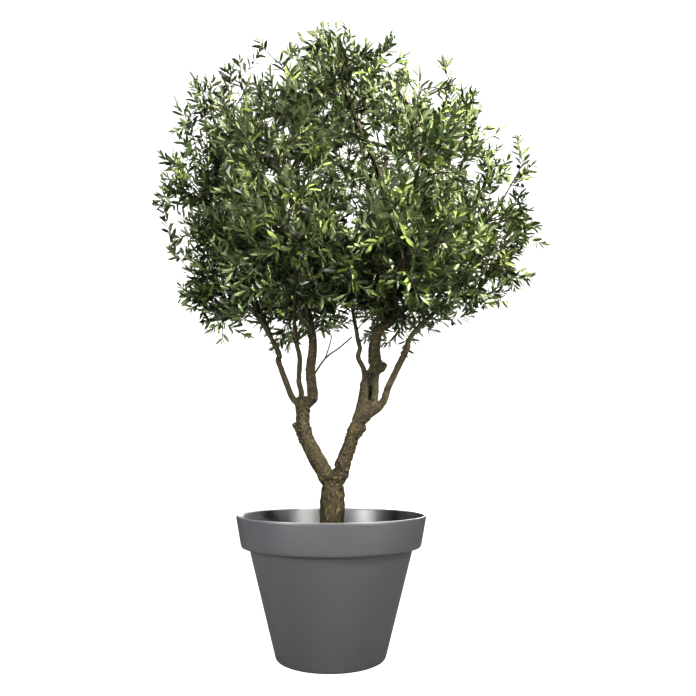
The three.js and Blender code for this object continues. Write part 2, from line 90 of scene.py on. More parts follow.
# A limb is grown in strides of (length, lean from upright, bearing). `at` is where on its parent it
# starts, `to` is the mass its tip ends in, and `thick` and `thin` are its radii at foot and tip.
# Knots are (at, swell, spread), stubs (at, bearing, radius, length).
LIMBS = [
    dict(name="trunk", thick=38, thin=29, flare=9, dome=0.5,
         strides=[(84, 1, 0), (108, 1, 0), (28, 3, 0)],
         knots=[(0.5, 5, 0.2), (1, 10, 0.14)]),
    dict(name="left_main_bough", parent="trunk", at=0.7, thick=26, thin=21.5,
         strides=[(50, 36, 182), (97, 27.6, 184), (26, 32, 184), (33, 16, 184), (36, 2, 180), (48, 3, 180)],
         knots=[(0.63, 4, 0.06), (0.98, 3, 0.08)],
         stubs=[(0.64, 180, 14, 38)]),
    dict(name="right_main_bough", parent="trunk", at=0.7, thick=23, thin=20.5,
         strides=[(47, 37, 0), (27, 4, 0), (43, 22, 2), (46, 20, 2), (26, 22, 2), (37, 19, 2),
                  (79, 12, 2), (42, 3, 2)],
         knots=[(0.25, 3, 0.07), (0.62, 4, 0.07), (0.95, -5, 0.14)],
         stubs=[(0.6, 0, 14.5, 44)]),
    dict(name="left_outer_limb", parent="left_main_bough", at=0.97, thick=10.5, thin=7, to="left_low",
         strides=[(37, 59, 190), (70, 23, 195), (60, 21, 195), (19, 5, 10), (36, 24, 200), (70, 31, 200)]),
    dict(name="left_front_limb", parent="left_main_bough", at=1, thick=9.5, thin=6.5, to="front_left_low",
         strides=[(36, 9, 215), (35, 12, 200), (60, 5, 300), (30, 10, 220), (32, 19, 225)]),
    dict(name="left_leader", parent="left_main_bough", at=0.95, thick=19, thin=8, to="top_left",
         strides=[(40, 48, 5), (42, 2, 90), (47, 6, 175), (47, 5, 40), (47, 5, 40), (38, 7, 150),
                  (105, 12, 165), (120, 8, 200), (120, 6, 120)]),
    dict(name="right_outer_limb", parent="right_main_bough", at=0.72, thick=14, thin=7.5, to="right_low",
         strides=[(39, 42, 0), (48, 58, 0), (30, 40, 355), (40, 21, 350), (78, 26, 350), (64, 27, 350),
                  (24, 12, 350)],
         knots=[(0.08, 10, 0.1)]),
    dict(name="right_leader", parent="right_main_bough", at=1, thick=20, thin=8, to="top_centre",
         strides=[(58, 37, 0), (50, 2, 180), (44, 6, 0), (45, 16, 10), (44, 53, 10), (44, 24, 20),
                  (90, 3, 60), (110, 9, 150), (120, 10, 190), (110, 6, 60)],
         knots=[(0, -6, 0.05), (0.09, 3, 0.05), (0.18, 2, 0.08)],
         stubs=[(0.075, 0, 15, 44)]),
    dict(name="link_limb", parent="right_outer_limb", at=0.14, thick=14, thin=13,
         strides=[(60, 12, 0), (37, 3, 0), (46, 6, 0)]),
    dict(name="right_inner_limb", parent="right_main_bough", at=0.97, thick=9, thin=6.5, to="low_centre",
         strides=[(52, 1, 200), (47, 26, 200), (30, 14, 330), (34, 15, 215)]),
    dict(name="bare_spur", parent="left_leader", at=0.205, thick=2.6, thin=2,
         strides=[(82, 33, 2), (59, 54, 350), (57, 50, 352)]),
    dict(name="left_mid_limb", parent="left_outer_limb", at=0.6, thick=7, thin=6, to="left_mid",
         strides=[(70, 38, 120)]),
]

# The lesser limbs: the mass that each is named after and ends in, its parent, where on it it
# starts, and how thick it is there.
LESSER_LIMBS = [
    ("left_high", "left_leader", 0.6, 10),
    ("back_left_low", "left_leader", 0.42, 10),
    ("back_left", "left_leader", 0.66, 9),
    ("front_left", "left_leader", 0.52, 10),
    ("right_mid", "right_leader", 0.5, 11),
    ("right_high", "right_leader", 0.72, 9.5),
    ("top_right", "right_leader", 0.82, 8.5),
    ("front_right_low", "right_leader", 0.34, 9),
    ("front_right", "right_leader", 0.57, 10),
    ("front_high", "right_leader", 0.76, 9),
    ("back_right_low", "right_leader", 0.42, 9),
    ("back_right", "right_leader", 0.62, 10),
    ("back_high", "right_leader", 0.79, 9),
]
LIMBS += [
    dict(name=mass + "_limb", parent=parent, at=at, thick=thick, thin=6.5, to=mass)
    for mass, parent, at, thick in LESSER_LIMBS
]

# Bark that has grown together behind a slit: from, to and radius.
WEBS = [(np.array((119.0, 5.0, 799.0)), np.array((121.0, 5.0, 845.0)), 9.0)]

# Slits and hollows where two limbs have grown together: from, to, radius and depth.
HOLLOWS = [
    (np.array((122.5, -5.0, 786.0)), np.array((125.0, -5.0, 824.0)), 4.3, 11.0),
    (np.array((121.0, -6.0, 850.0)), np.array((127.0, -6.0, 859.0)), 8.5, 16.0),
]
HOLLOWS_LOW, HOLLOWS_HIGH = 760, 885  # no hollow reaches past these heights
HOLLOW_SHADE_DEPTH = 4  # how deep a hollow is, in millimetres, where its painted shade turns wholly dark
RAGGED = 3.5  # how far the edge of a slit or hollow wanders
JOINT_LIMIT = 28  # a joint is softened as if its limb were no thicker than this
JOINT_REACH = 1.9  # how far round a joint that goes, in radii of its limb
THICKEST_COLLAR = 0.35  # how much thicker a limb is where it leaves its parent, as a share
STUB_LEAN = 62  # how far the stub of a cut branch leans from upright, in degrees
THICKEST_TWIG = 3  # a limb no thicker than this is left to the twigs
RING_STEP = 5  # between two rings of a limb
SEAM_LAP = 12  # how far the lower skin of bark reaches up inside the upper one

# Each mass of foliage: bearing and distance out from the crown's axis, height, reach across, deep
# and high, and how fully it is leaved.
CROWN_AXIS = (52, 0)
MASSES = [
    ("left_low", 184, 405, 1190, (240, 240, 230), 1.15),
    ("front_left_low", 240, 320, 1190, (235, 235, 225), 1.2),
    ("front_right_low", 302, 330, 1180, (235, 235, 225), 1.0),
    ("right_low", 356, 390, 1190, (250, 240, 230), 0.9),
    ("back_right_low", 58, 340, 1200, (240, 240, 230), 0.75),
    ("back_left_low", 122, 330, 1200, (240, 240, 230), 0.8),
    ("low_centre", 270, 30, 1160, (220, 210, 190), 0.9),
    ("left_mid", 178, 490, 1480, (245, 245, 240), 0.95),
    ("front_left", 236, 385, 1490, (240, 240, 235), 0.85),
    ("front_right", 304, 385, 1480, (240, 240, 235), 0.85),
    ("right_mid", 2, 500, 1440, (250, 245, 240), 0.8),
    ("back_right", 56, 395, 1490, (240, 240, 235), 0.8),
    ("back_left", 124, 395, 1490, (240, 240, 235), 0.8),
    ("left_high", 180, 420, 1770, (235, 235, 230), 0.7),
    ("front_high", 268, 300, 1710, (240, 240, 215), 0.92),
    ("right_high", 4, 410, 1715, (235, 235, 230), 0.65),
    ("back_high", 92, 320, 1770, (245, 240, 225), 0.9),
    ("top_left", 178, 200, 1900, (225, 235, 200), 0.34),
    ("top_right", 4, 250, 1880, (220, 230, 205), 0.44),
    ("top_centre", 90, 20, 1915, (215, 205, 195), 0.42),
]
MASS_GAP = 4  # left between two masses
MASS_SLACK = 1.05  # how far the leaves may reach past a mass, as a share of its reach

# The whole crown's reach from its middle, every 15 degrees round from +X towards +Z, and its depth.
CROWN_MIDDLE = np.array((52.0, 20.0, 1499.0))
CROWN_OUTLINE = (
    645, 705, 590, 685, 705, 470, 540, 615, 685, 680, 790, 800,
    705, 720, 660, 765, 800, 720, 685, 660, 720, 700, 705, 730,
)
CROWN_DEPTH = 560

LEAFLESS_BELOW = 1010  # the limbs are bare up to this height
OPEN_ABOVE = 1250  # the crown's edge is more open above this height

# A limb that ends in a mass.
TIP_DEPTH = 0.74  # how far short of the mass's middle it ends, as a share of the mass's size
SHORTEST_LIMB = 60

# The stem of a mass, as a share of the way from its limb's tip to the mass's middle. It is cut
# back bit by bit until it ends inside the mass.
LONGEST_STEM, SHORTEST_STEM, STEM_CUT = 1.4, 0.5, 0.05

# The first twigs of a mass.
TWIGS_PER_MASS = 7
BACKMOST, FOREMOST = -0.6, 0.9  # how far before or past the mass's middle they end, in shares
LOWEST, HIGHEST = 0.2, 0.96  # where on the stem they start, in shares of it
TWIG_THICK = 3.4  # room that a twig takes up
TURN_SWAY, REACH_SWAY = 0.6, 0.08  # how much their turn, in radians, and their reach vary
LEAF_ROOM = 85  # from a twig's tip to the edge of its mass
SHORTEST_TWIG = 45
LIMB_CLEARANCE = 3  # between a twig and a limb that it passes

# The finer growth: radii where it starts and where it ends, how far it leans from what bears it,
# in degrees, and how closely it is set.
STEM_RADII, TWIG_RADII, SHOOT_RADII, STALK_RADII = (6.2, 3.0), (3.2, 1.3), (1.15, 0.6), (0.7, 0.6)
SIDE_TIP = 1.0  # radius at the end of a side twig
STEM_SINK, TWIG_SINK = 6, 2  # how deep a stem or a twig starts inside its limb
SHORTEST_SIDE = 90
LIMB_TWIG_LEANS, SIDE_LEANS, SHOOT_LEANS, LEAF_LEANS = (40, 65), (38, 62), (32, 58), (34, 66)
LIMB_TWIG_SPACING, TWIG_SHOOT_SPACING, SIDE_SHOOT_SPACING = 25, 30, 22
LAST_SIDE, LAST_SHOOT = 0.92, 0.97  # where on what bears them the last ones start, as shares
TWIG_REACH, SHOOT_REACH, LEADING_REACH = 0.93, 0.88, 0.985  # as shares of the crown's outline
LEADING_SHARE = 0.2  # of the shoots, these reach past the others
LEADING_LENGTH = 1.5  # how much longer they are
OPEN_SHARE = 0.4  # of the other shoots at the crown's open edge, these are left out
MISSING_SHARE = 0.08  # of the leaves, these have fallen
LEAF_ROLLS, LEAF_BENDS = (-1.15, 1.15), (-0.12, 0.34)  # turn about the midrib, and droop of the tip
VIGOUR = (0.85, 1.12)  # how large the leaves of one shoot are
OUTER_FRUIT, INNER_FRUIT = 3.6, 0.25  # how fruitful shoots at the crown's edge and inside it are
STALK_LENGTHS, OLIVE_LENGTHS = (6, 12), (12.5, 16)
RIPE_SHARE = 0.72  # of the olives, these are dark

# The second tine of the bare spur: where it starts, and lean and length to its bend and to its end.
TINE_AT, TINE = 1 / 3, ((22, 38), (16, 84))
SPUR_RADII, TINE_RADII = (3.3, 2.3), (2.5, 1.8)

# How light a spray's green is: what its place in the crown adds as painted light and painted shade (lighter
# at a mass's edge, on the sunny right and low on the left, darker deep inside and at the top left), how much
# it varies at random, and the limits between the five greens.
CROWN_HALF_WIDTH, CROWN_FOOT, CROWN_HEIGHT = 650, 950, 1150
EDGE_LIGHT, SUN_LIGHT, LOW_LEFT_LIGHT, TOP_LEFT_LIGHT = 0.22, 0.7, 0.28, -0.6
LIGHT_SPREAD = 0.31
TONE_LIMITS = (0.25, 0.43, 0.64, 0.93)
TONES = ("deep", "olive", "green", "fresh", "young")

# Seeds of what grows by chance.
MASS_SEED, MASS_SEED_STEP = 101, 37
LIMB_SEED = 7000
CLOD_SEED = 31
BARK_SEED = 11  # noise_vector starts from the clock without it


# ---------------------------------------------------------------- curves


def unit(vectors):
    """Vectors scaled to a length of one, along the last axis."""
    vectors = np.asarray(vectors, float)
    return vectors / np.maximum(np.linalg.norm(vectors, axis=-1, keepdims=True), 1e-12)


def heading_of(lean, bearing):
    """The direction that leans from upright by one angle, towards a bearing, in degrees."""
    side = math.sin(math.radians(lean))
    turn = math.radians(bearing)
    return np.array((side * math.cos(turn), side * math.sin(turn), math.cos(math.radians(lean))))


def across_pair(along):
    """Two directions square to `along`, the same wherever that direction occurs."""
    reference = UP if abs(along[2]) < 0.9 else np.array((1.0, 0.0, 0.0))
    u = unit(np.cross(along, reference))
    return u, np.cross(along, u)


def side_of(along, turn):
    """The direction square to `along`, at an angle round it."""
    u, v = across_pair(along)
    return u * math.sin(turn) + v * math.cos(turn)


def leaning(along, side, lean):
    """The direction that leans from `along` to a side."""
    return along * math.cos(lean) + side * math.sin(lean)


class Curve:
    """A curve over a parameter from 0 to 1."""

    def point(self, t):
        return self.points(np.array([t]))[0]

    def tangent(self, t):
        """The direction along the curve, over a short chord."""
        step = 0.0001
        ends = self.points(np.array([max(t - step, 0.0), min(t + step, 1.0)]))
        return unit(ends[1] - ends[0])

    def length(self):
        spots = self.points(np.linspace(0, 1, 201))
        return float(np.linalg.norm(np.diff(spots, axis=0), axis=1).sum())


class Sweep(Curve):
    """A curve from one point to another, bent towards a third."""

    def __init__(self, start, turn, end):
        self.start, self.turn, self.end = start, turn, end

    def points(self, ts):
        t = np.asarray(ts, float)[:, None]
        return (1 - t) ** 2 * self.start + 2 * (1 - t) * t * self.turn + t**2 * self.end


class Path(Curve):
    """A smooth curve through every one of its points."""

    def __init__(self, knots):
        self.knots = np.array(knots)
        first = 2 * self.knots[0] - self.knots[1]
        last = 2 * self.knots[-1] - self.knots[-2]
        self.padded = np.vstack([first, self.knots, last])

    def points(self, ts):
        spans = len(self.knots) - 1
        place = np.clip(np.asarray(ts, float), 0, 1) * spans
        index = np.minimum(place.astype(int), spans - 1)
        w = (place - index)[:, None]
        p0, p1, p2, p3 = (self.padded[index + k] for k in range(4))
        t0, t1 = (p2 - p0) / 2, (p3 - p1) / 2
        return (
            p1 + t0 * w + (3 * (p2 - p1) - 2 * t0 - t1) * w**2 + (2 * (p1 - p2) + t0 + t1) * w**3
        )


def frames_along(curve, steps):
    """Centres, directions and two sideways directions at even places on a curve, never spinning."""
    ts = np.linspace(0, 1, steps + 1)
    centres = curve.points(ts)
    alongs = np.array([curve.tangent(t) for t in ts])
    u = across_pair(alongs[0])[0]
    us = []
    for along in alongs:
        u = unit(u - along * np.dot(u, along))
        us.append(u)
    us = np.array(us)
    return ts, centres, alongs, us, np.cross(us, alongs)


def point_tree(points):
    """A tree that finds the nearest of some points."""
    tree = kdtree.KDTree(len(points))
    for i, point in enumerate(points):
        tree.insert(point, i)
    tree.balance()
    return tree


def dice(seed):
    """Numbers from 0 to 1 in a fixed order for each seed."""
    state = seed
    while True:
        state = state * 16807 % 2147483647
        yield state / 2147483647


# ---------------------------------------------------------------- limbs and crown spaces


class Mass:
    """One mass of foliage and the space that it keeps to."""

    def __init__(self, number, name, bearing, out, height, reach, fullness):
        self.name, self.fullness = name, fullness
        self.seed = MASS_SEED + number * MASS_SEED_STEP
        self.reach = np.array(reach, float)
        self.size = float(np.mean(reach))
        turn = math.radians(bearing)
        self.centre = np.array(
            (CROWN_AXIS[0] + out * math.cos(turn), CROWN_AXIS[1] + out * math.sin(turn), height)
        )

    def set_walls(self, others):
        normals, limits = [], []
        for other in others:
            if other is not self:
                between = other.centre - self.centre
                apart = np.linalg.norm(between)
                normals.append(between / apart)
                limits.append(apart * self.size / (self.size + other.size) - MASS_GAP)
        self.wall_normals, self.wall_limits = np.array(normals), np.array(limits)

    def holds(self, points):
        """Whether each point lies in this mass's own space."""
        offset = np.atleast_2d(points) - self.centre
        round_ok = ((offset / self.reach) ** 2).sum(axis=1) <= 1
        return round_ok & (offset @ self.wall_normals.T <= self.wall_limits).all(axis=1)



class Limb:
    """The trunk, a bough or a lesser limb, along its own curve."""

    def __init__(self, plan, parent, masses):
        self.plan, self.name = plan, plan["name"]
        foot = parent.curve.point(plan["at"]) if parent else TRUNK_FOOT - UP * FOOT_TRIM
        heading = parent.curve.tangent(plan["at"]) if parent else UP
        knots = [foot]
        for length, lean, bearing in plan.get("strides", ()):
            heading = heading_of(lean, bearing)
            knots.append(knots[-1] + heading * length)
        if "to" in plan:
            mass = masses[plan["to"]]
            start = knots[-1]
            to_mass = mass.centre - start
            distance = np.linalg.norm(to_mass)
            run = max(distance - TIP_DEPTH * mass.size, SHORTEST_LIMB)
            tip = start + to_mass / distance * run
            bent = heading + (to_mass / distance - heading) * 0.35
            sweep = Sweep(start, start + bent * run * 0.45, tip)
            knots.extend(sweep.points(np.array((1 / 3, 2 / 3, 1))))
        self.curve = Path(knots)

    def radii(self, ts):
        plan = self.plan
        radius = plan["thick"] + (plan["thin"] - plan["thick"]) * ts + plan.get("flare", 0) * np.exp(-7 * ts)
        for at, swell, spread in plan.get("knots", ()):
            radius = radius + swell * np.exp(-(((ts - at) / spread) ** 2))
        return radius


class Skeleton:
    """All the limbs, the crown's masses and the first twigs of each mass."""

    def __init__(self):
        self.masses = {row[0]: Mass(number, *row) for number, row in enumerate(MASSES)}
        for mass in self.masses.values():
            mass.set_walls(self.masses.values())
        self.limbs = {}
        for plan in LIMBS:
            self.limbs[plan["name"]] = Limb(plan, self.limbs.get(plan.get("parent")), self.masses)
        self.sample_limbs()

    def sample_limbs(self, step=12):
        """Points along every limb, with its radius there."""
        points, radii = [], []
        for limb in self.limbs.values():
            ts = np.linspace(0, 1, math.ceil(limb.curve.length() / step) + 1)
            points.append(limb.curve.points(ts))
            radii.append(limb.radii(ts))
        self.limb_points, self.limb_radii = np.vstack(points), np.concatenate(radii)

    def clear_of_limbs(self, points, room):
        """Whether each point keeps its distance from every limb."""
        gaps = np.linalg.norm(np.atleast_2d(points)[:, None] - self.limb_points[None], axis=2)
        return (gaps > self.limb_radii + room).all(axis=1)

    def stem_of(self, mass):
        """The stem of a mass: on from its limb's tip, through the middle of the mass."""
        curve = next(limb.curve for limb in self.limbs.values() if limb.plan.get("to") == mass.name)
        tip, along = curve.point(1), curve.tangent(1)
        foot = tip + along * GAP
        onward = mass.centre - tip
        reach = LONGEST_STEM
        while True:
            end = tip + onward * reach
            reach -= STEM_CUT
            if reach <= SHORTEST_STEM or mass.holds(end)[0]:
                break
        return Sweep(foot, foot + along * np.linalg.norm(onward) * 0.45, end)

    def twig_of(self, mass, stem, index, roll):
        """A twig from the stem to a spot near the edge of the mass, or None where it has no room."""
        turn_roll, out_roll = next(roll), next(roll)
        share = (index + 0.5) / TWIGS_PER_MASS
        axis = unit(mass.centre - stem.start)
        rise = BACKMOST + (FOREMOST - BACKMOST) * share
        turn = index * GOLDEN_TURN + turn_roll * TURN_SWAY + mass.seed
        outward = side_of(axis, turn) * math.sqrt(1 - rise * rise) + axis * rise
        edge = 1 / np.linalg.norm(outward / mass.reach)
        spot = mass.centre + outward * (edge * (1 - REACH_SWAY + REACH_SWAY * out_roll) - LEAF_ROOM)
        foot = stem.point(LOWEST + (HIGHEST - LOWEST) * share)
        run = spot - foot
        length = np.linalg.norm(run)
        lift = axis * 0.5 + UP * 0.35
        whole = Sweep(foot, foot + run * 0.4 + lift * length * 0.25, spot)
        free = self.free_stretch(mass, whole)
        if free * length < SHORTEST_TWIG:
            return None
        if free == 1:
            return whole
        return Sweep(foot, foot + (whole.turn - foot) * free, whole.point(free))

    def free_stretch(self, mass, curve):
        """The share of a twig, from its foot, that stays in the mass's space and off the limbs."""
        checks = 20
        points = curve.points(np.arange(3, checks + 1) / checks)
        free = mass.holds(points) & self.clear_of_limbs(points, TWIG_THICK + LIMB_CLEARANCE)
        return 1 if free.all() else (2 + int(np.argmin(free))) / checks


SKELETON = Skeleton()


# ---------------------------------------------------------------- crown growth


class Crown:
    """Twigs, leaves and fruit, carried on from the first twigs to the finest shoots."""

    def __init__(self, settings):
        self.settings = settings
        self.tubes = {"stem": [], "twig": [], "side": [], "shoot": [], "stalk": []}
        self.leaves = []
        self.olives = []
        self.masses = list(SKELETON.masses.values())
        self.centres = np.array([mass.centre for mass in self.masses])
        self.reaches = np.array([mass.reach for mass in self.masses])
        self.outline = np.array((*CROWN_OUTLINE, CROWN_OUTLINE[0]), float)
        self.outline_turns = np.linspace(0, 2 * math.pi, len(self.outline))
        self.limb_tree = point_tree(SKELETON.limb_points)
        for mass in self.masses:
            self.grow_mass(mass)
        for number, limb in enumerate(SKELETON.limbs.values()):
            self.grow_limb(limb, random.Random(LIMB_SEED + number))
        self.grow_spur()

    def outer_share(self, point):
        """How far out a place is: 0 at the crown's middle and 1 on its outline."""
        out = point - CROWN_MIDDLE
        turn = math.atan2(out[2], out[0]) % (2 * math.pi)
        reach = float(np.interp(turn, self.outline_turns, self.outline))
        return math.sqrt((out[0] ** 2 + out[2] ** 2) / reach**2 + (out[1] / CROWN_DEPTH) ** 2)

    def mass_shares(self, point):
        """For each mass, the square of how far out a place is: 0 at its middle and 1 on its edge."""
        return (((point - self.centres) / self.reaches) ** 2).sum(axis=1)

    def in_crown(self, point, share=1.0):
        """Whether a place is in the crown's outline and in the space of any mass."""
        if self.outer_share(point) > share:
            return False
        return bool((self.mass_shares(point) <= (share * MASS_SLACK) ** 2).any())

    def off_limbs(self, point, room):
        _, index, gap = self.limb_tree.find(point)
        return gap > SKELETON.limb_radii[index] + room

    def grow_spur(self):
        """The bare spur and the second tine that forks from it."""
        spur = SKELETON.limbs["bare_spur"].curve
        fork = spur.point(TINE_AT)
        turn, end = (fork + heading_of(lean, 0) * length for lean, length in TINE)
        self.tubes["stem"].append((spur, *SPUR_RADII))
        self.tubes["side"].append((Sweep(fork, turn, end), *TINE_RADII))

    def grow_mass(self, mass):
        """A mass's stem and first twigs, with all that they bear."""
        rng = random.Random(mass.seed)
        roll = dice(mass.seed)
        stem = SKELETON.stem_of(mass)
        into_limb = unit(stem.turn - stem.start) * STEM_SINK
        self.tubes["stem"].append((Sweep(stem.start - into_limb, stem.turn, stem.end), *STEM_RADII))
        self.grow_sides(mass, stem, rng, count=5, first=0.35, longest=150, thick=2.4)
        count = max(4, round(4.2 * mass.fullness))
        for index in range(TWIGS_PER_MASS):
            twig = SKELETON.twig_of(mass, stem, index, roll)
            if twig is None:
                continue
            self.tubes["twig"].append((twig, *TWIG_RADII))
            self.grow_sides(mass, twig, rng, count=count, first=0.25, longest=160, thick=1.7)
            self.grow_shoots(mass, twig, rng, spacing=TWIG_SHOOT_SPACING, first=0.3)
            self.leafy_end(twig, rng)

    def grow_limb(self, limb, rng):
        """Leafy twigs all along the part of a limb that is inside the crown."""
        count = round(limb.curve.length() / LIMB_TWIG_SPACING)
        turn = rng.uniform(0, 2 * math.pi)
        for k in range(count):
            turn += GOLDEN_TURN
            t = (k + rng.uniform(0.2, 0.8)) / count
            lean = math.radians(rng.uniform(*LIMB_TWIG_LEANS))
            length = rng.uniform(SHORTEST_SIDE, 150)
            centre = limb.curve.point(t)
            if centre[2] < LEAFLESS_BELOW or not self.in_crown(centre, 0.97):
                continue
            along = limb.curve.tangent(t)
            side = side_of(along, turn)
            way = leaning(along, side, lean)
            foot = centre + side * (limb.radii(t) - TWIG_SINK)
            if self.off_limbs(foot + way * 30, room=4):
                mass = self.masses[int(self.mass_shares(centre).argmin())]
                self.grow_side(mass, foot, way, along, length, rng, thick=1.9, first=0.2)

    def grow_sides(self, mass, parent, rng, count, first, longest, thick):
        """Side twigs, a golden turn apart, each with leafy shoots of its own."""
        turn = rng.uniform(0, 2 * math.pi)
        for k in range(count):
            turn += GOLDEN_TURN
            t = first + (LAST_SIDE - first) * (k + rng.uniform(0.2, 0.8)) / count
            length = rng.uniform(SHORTEST_SIDE, longest)
            lean = math.radians(rng.uniform(*SIDE_LEANS))
            if rng.random() <= mass.fullness:
                foot, along = parent.point(t), parent.tangent(t)
                way = leaning(along, side_of(along, turn), lean)
                self.grow_side(mass, foot, way, along, length, rng, thick, first=0.22)

    def grow_side(self, mass, foot, way, along, length, rng, thick, first):
        """One side twig with its shoots and leaves, where it has room."""
        twig = self.bent_shoot(foot, way, along, length, lift=0.22, reach=TWIG_REACH)
        if twig is not None:
            self.tubes["side"].append((twig, thick, SIDE_TIP))
            self.grow_shoots(mass, twig, rng, spacing=SIDE_SHOOT_SPACING, first=first)
            self.leafy_end(twig, rng)

    def bent_shoot(self, foot, way, along, length, lift, reach):
        """A shoot that leaves at an angle and sweeps up, or a shorter one, or None."""
        for share in (1.0, 0.8, 0.62, 0.45):
            run = length * share
            end = foot + way * run * 0.92 + UP * run * lift + along * run * 0.1
            if self.in_crown(end, reach) and self.off_limbs(end, room=6):
                middle = foot + way * run * 0.55
                if self.off_limbs(middle, room=5):
                    return Sweep(foot, middle, end)
        return None

    def grow_shoots(self, mass, parent, rng, spacing, first):
        """Short leafy shoots all along a twig. A leading shoot is longer and may pass the others."""
        count = max(2, round(parent.length() * (1 - first) / spacing))
        turn = rng.uniform(0, 2 * math.pi)
        for k in range(count):
            turn += GOLDEN_TURN
            t = first + (LAST_SHOOT - first) * (k + rng.uniform(0.1, 0.9)) / count
            lean = math.radians(rng.uniform(*SHOOT_LEANS))
            length = rng.uniform(*self.settings["shoot_length"]) * (1.15 - 0.35 * t)
            kept = rng.random() < self.settings["density"] * mass.fullness
            seed = rng.random()
            leading = rng.random() < LEADING_SHARE
            if not kept:
                continue
            if leading:
                length *= LEADING_LENGTH
            foot, along = parent.point(t), parent.tangent(t)
            way = leaning(along, side_of(along, turn), lean)
            reach = LEADING_REACH if leading else SHOOT_REACH
            shoot = self.bent_shoot(foot, way, along, length, lift=0.2, reach=reach)
            if shoot is None:
                continue
            outer = shoot.end[2] > OPEN_ABOVE and self.outer_share(shoot.end) > 0.74
            if outer and not leading and random.Random(seed).random() < OPEN_SHARE:
                continue
            self.tubes["shoot"].append((shoot, *SHOOT_RADII))
            self.leaf_shoot(shoot, random.Random(seed), start=0.12)

    def leafy_end(self, twig, rng):
        """Leaves on the last third of a twig itself."""
        self.leaf_shoot(twig, random.Random(rng.random()), start=0.62)

    def leaf_shoot(self, shoot, rng, start):
        """Opposite pairs of leaves, each pair a quarter turn on, and one leaf at the tip."""
        pairs = max(2, round(shoot.length() * (1 - start) / self.settings["leaf_spacing"]))
        tone = self.tone_of(shoot.end, rng)
        turn = rng.uniform(0, math.pi)
        vigour = rng.uniform(*VIGOUR)
        fruitful = OUTER_FRUIT if self.outer_share(shoot.end) > 0.78 else INNER_FRUIT
        for k in range(pairs):
            share = (k + 0.5) / pairs
            t = start + (1 - start) * share
            root, along = shoot.point(t), shoot.tangent(t)
            turn += math.pi / 2 + rng.uniform(-0.25, 0.25)
            for side in (0, math.pi):
                missing = rng.random() < MISSING_SHARE
                opening = math.radians(rng.uniform(*LEAF_LEANS) - 14 * share)
                angle = turn + side + rng.uniform(-0.2, 0.2)
                size = rng.uniform(*self.settings["leaf_length"]) * vigour * (1 - 0.42 * share**2)
                roll = rng.uniform(*LEAF_ROLLS)
                bend = rng.uniform(*LEAF_BENDS)
                way = unit(leaning(along, side_of(along, angle), opening) - UP * 0.06)
                if not missing:
                    self.add_leaf(root, way, along, size, roll, bend, tone)
            if rng.random() < self.settings["fruit_share"] * fruitful and 0.15 < share < 0.8:
                self.add_olives(root, along, rng)
        last = self.settings["leaf_length"][0] * 0.8
        self.add_leaf(shoot.end, shoot.tangent(1.0), across_pair(along)[0], last, 0.0, 0.05, tone)

    def add_leaf(self, root, way, along, size, roll, bend, tone):
        """A leaf whose face turns up along the shoot, made shorter where it has no room."""
        face = along - way * np.dot(along, way) + UP * 0.35
        face = unit(face - way * np.dot(face, way))
        across = np.cross(face, way)
        face, across = (
            face * math.cos(roll) + across * math.sin(roll),
            across * math.cos(roll) - face * math.sin(roll),
        )
        for share in (1.0, 0.8, 0.62):
            tip = root + way * size * share
            if self.in_crown(tip) and self.off_limbs(root + way * size * share * 0.6, room=4):
                self.leaves.append((root, way, across, face, size * share, bend, tone))
                return

    def tone_of(self, tip, rng):
        """Which green a spray takes: the young and fresh greens at the sunny edge and deep green inside the
        crown, partly for the leaves' age and partly as painted light and painted shade.
        """
        depth = 1 - math.sqrt(float(self.mass_shares(tip).min()))
        sunny = 0.5 + 0.5 * (tip[0] - CROWN_AXIS[0]) / CROWN_HALF_WIDTH
        height = (tip[2] - CROWN_FOOT) / CROWN_HEIGHT
        low_left = (1 - sunny) * (1 - height)
        top_left = (1 - sunny) * height**3
        # Painted light and shade: lighter towards a mass's edge and on the sunny right, more so higher up.
        light = EDGE_LIGHT * (1 - depth) + SUN_LIGHT * sunny * height
        # Painted light: lighter low on the left.
        light += LOW_LEFT_LIGHT * low_left
        # Painted shade: darker at the top left.
        light += TOP_LEFT_LIGHT * top_left
        light += rng.gauss(0, LIGHT_SPREAD)
        return sum(light > limit for limit in TONE_LIMITS)

    def add_olives(self, root, along, rng):
        """One to three olives on short stalks, hanging from a shoot."""
        for _ in range(rng.choice((1, 1, 2, 3))):
            turn = rng.uniform(0, 2 * math.pi)
            way = unit(side_of(along, turn) * 0.55 - UP)
            stalk = rng.uniform(*STALK_LENGTHS)
            length = rng.uniform(*OLIVE_LENGTHS)
            centre = root + way * (stalk + length / 2)
            ripe = rng.random()
            if self.in_crown(centre) and self.off_limbs(centre, room=9):
                curve = Sweep(root, root + way * stalk * 0.5, root + way * stalk)
                self.tubes["stalk"].append((curve, *STALK_RADII))
                self.olives.append((centre, way, length, ripe))


# ---------------------------------------------------------------- mesh making


def mesh_object(name, points, faces, materials=(), face_materials=None, smooth=True):
    """A mesh object from points in millimetres and faces that all have the same number of corners."""
    faces = np.asarray(faces, np.int32)
    mesh = bpy.data.meshes.new(name)
    mesh.vertices.add(len(points))
    mesh.vertices.foreach_set("co", (np.asarray(points, np.float64) * MM).astype(np.float32).ravel())
    corners = faces.shape[1]
    mesh.loops.add(faces.size)
    mesh.loops.foreach_set("vertex_index", faces.ravel())
    mesh.polygons.add(len(faces))
    mesh.polygons.foreach_set("loop_start", np.arange(len(faces), dtype=np.int32) * corners)
    mesh.polygons.foreach_set("use_smooth", np.full(len(faces), smooth))
    for material in materials:
        mesh.materials.append(material)
    if face_materials is not None:
        mesh.polygons.foreach_set("material_index", np.asarray(face_materials, np.int32))
    mesh.update(calc_edges=True)
    mesh.validate()
    piece = bpy.data.objects.new(name, mesh)
    bpy.context.scene.collection.objects.link(piece)
    return piece


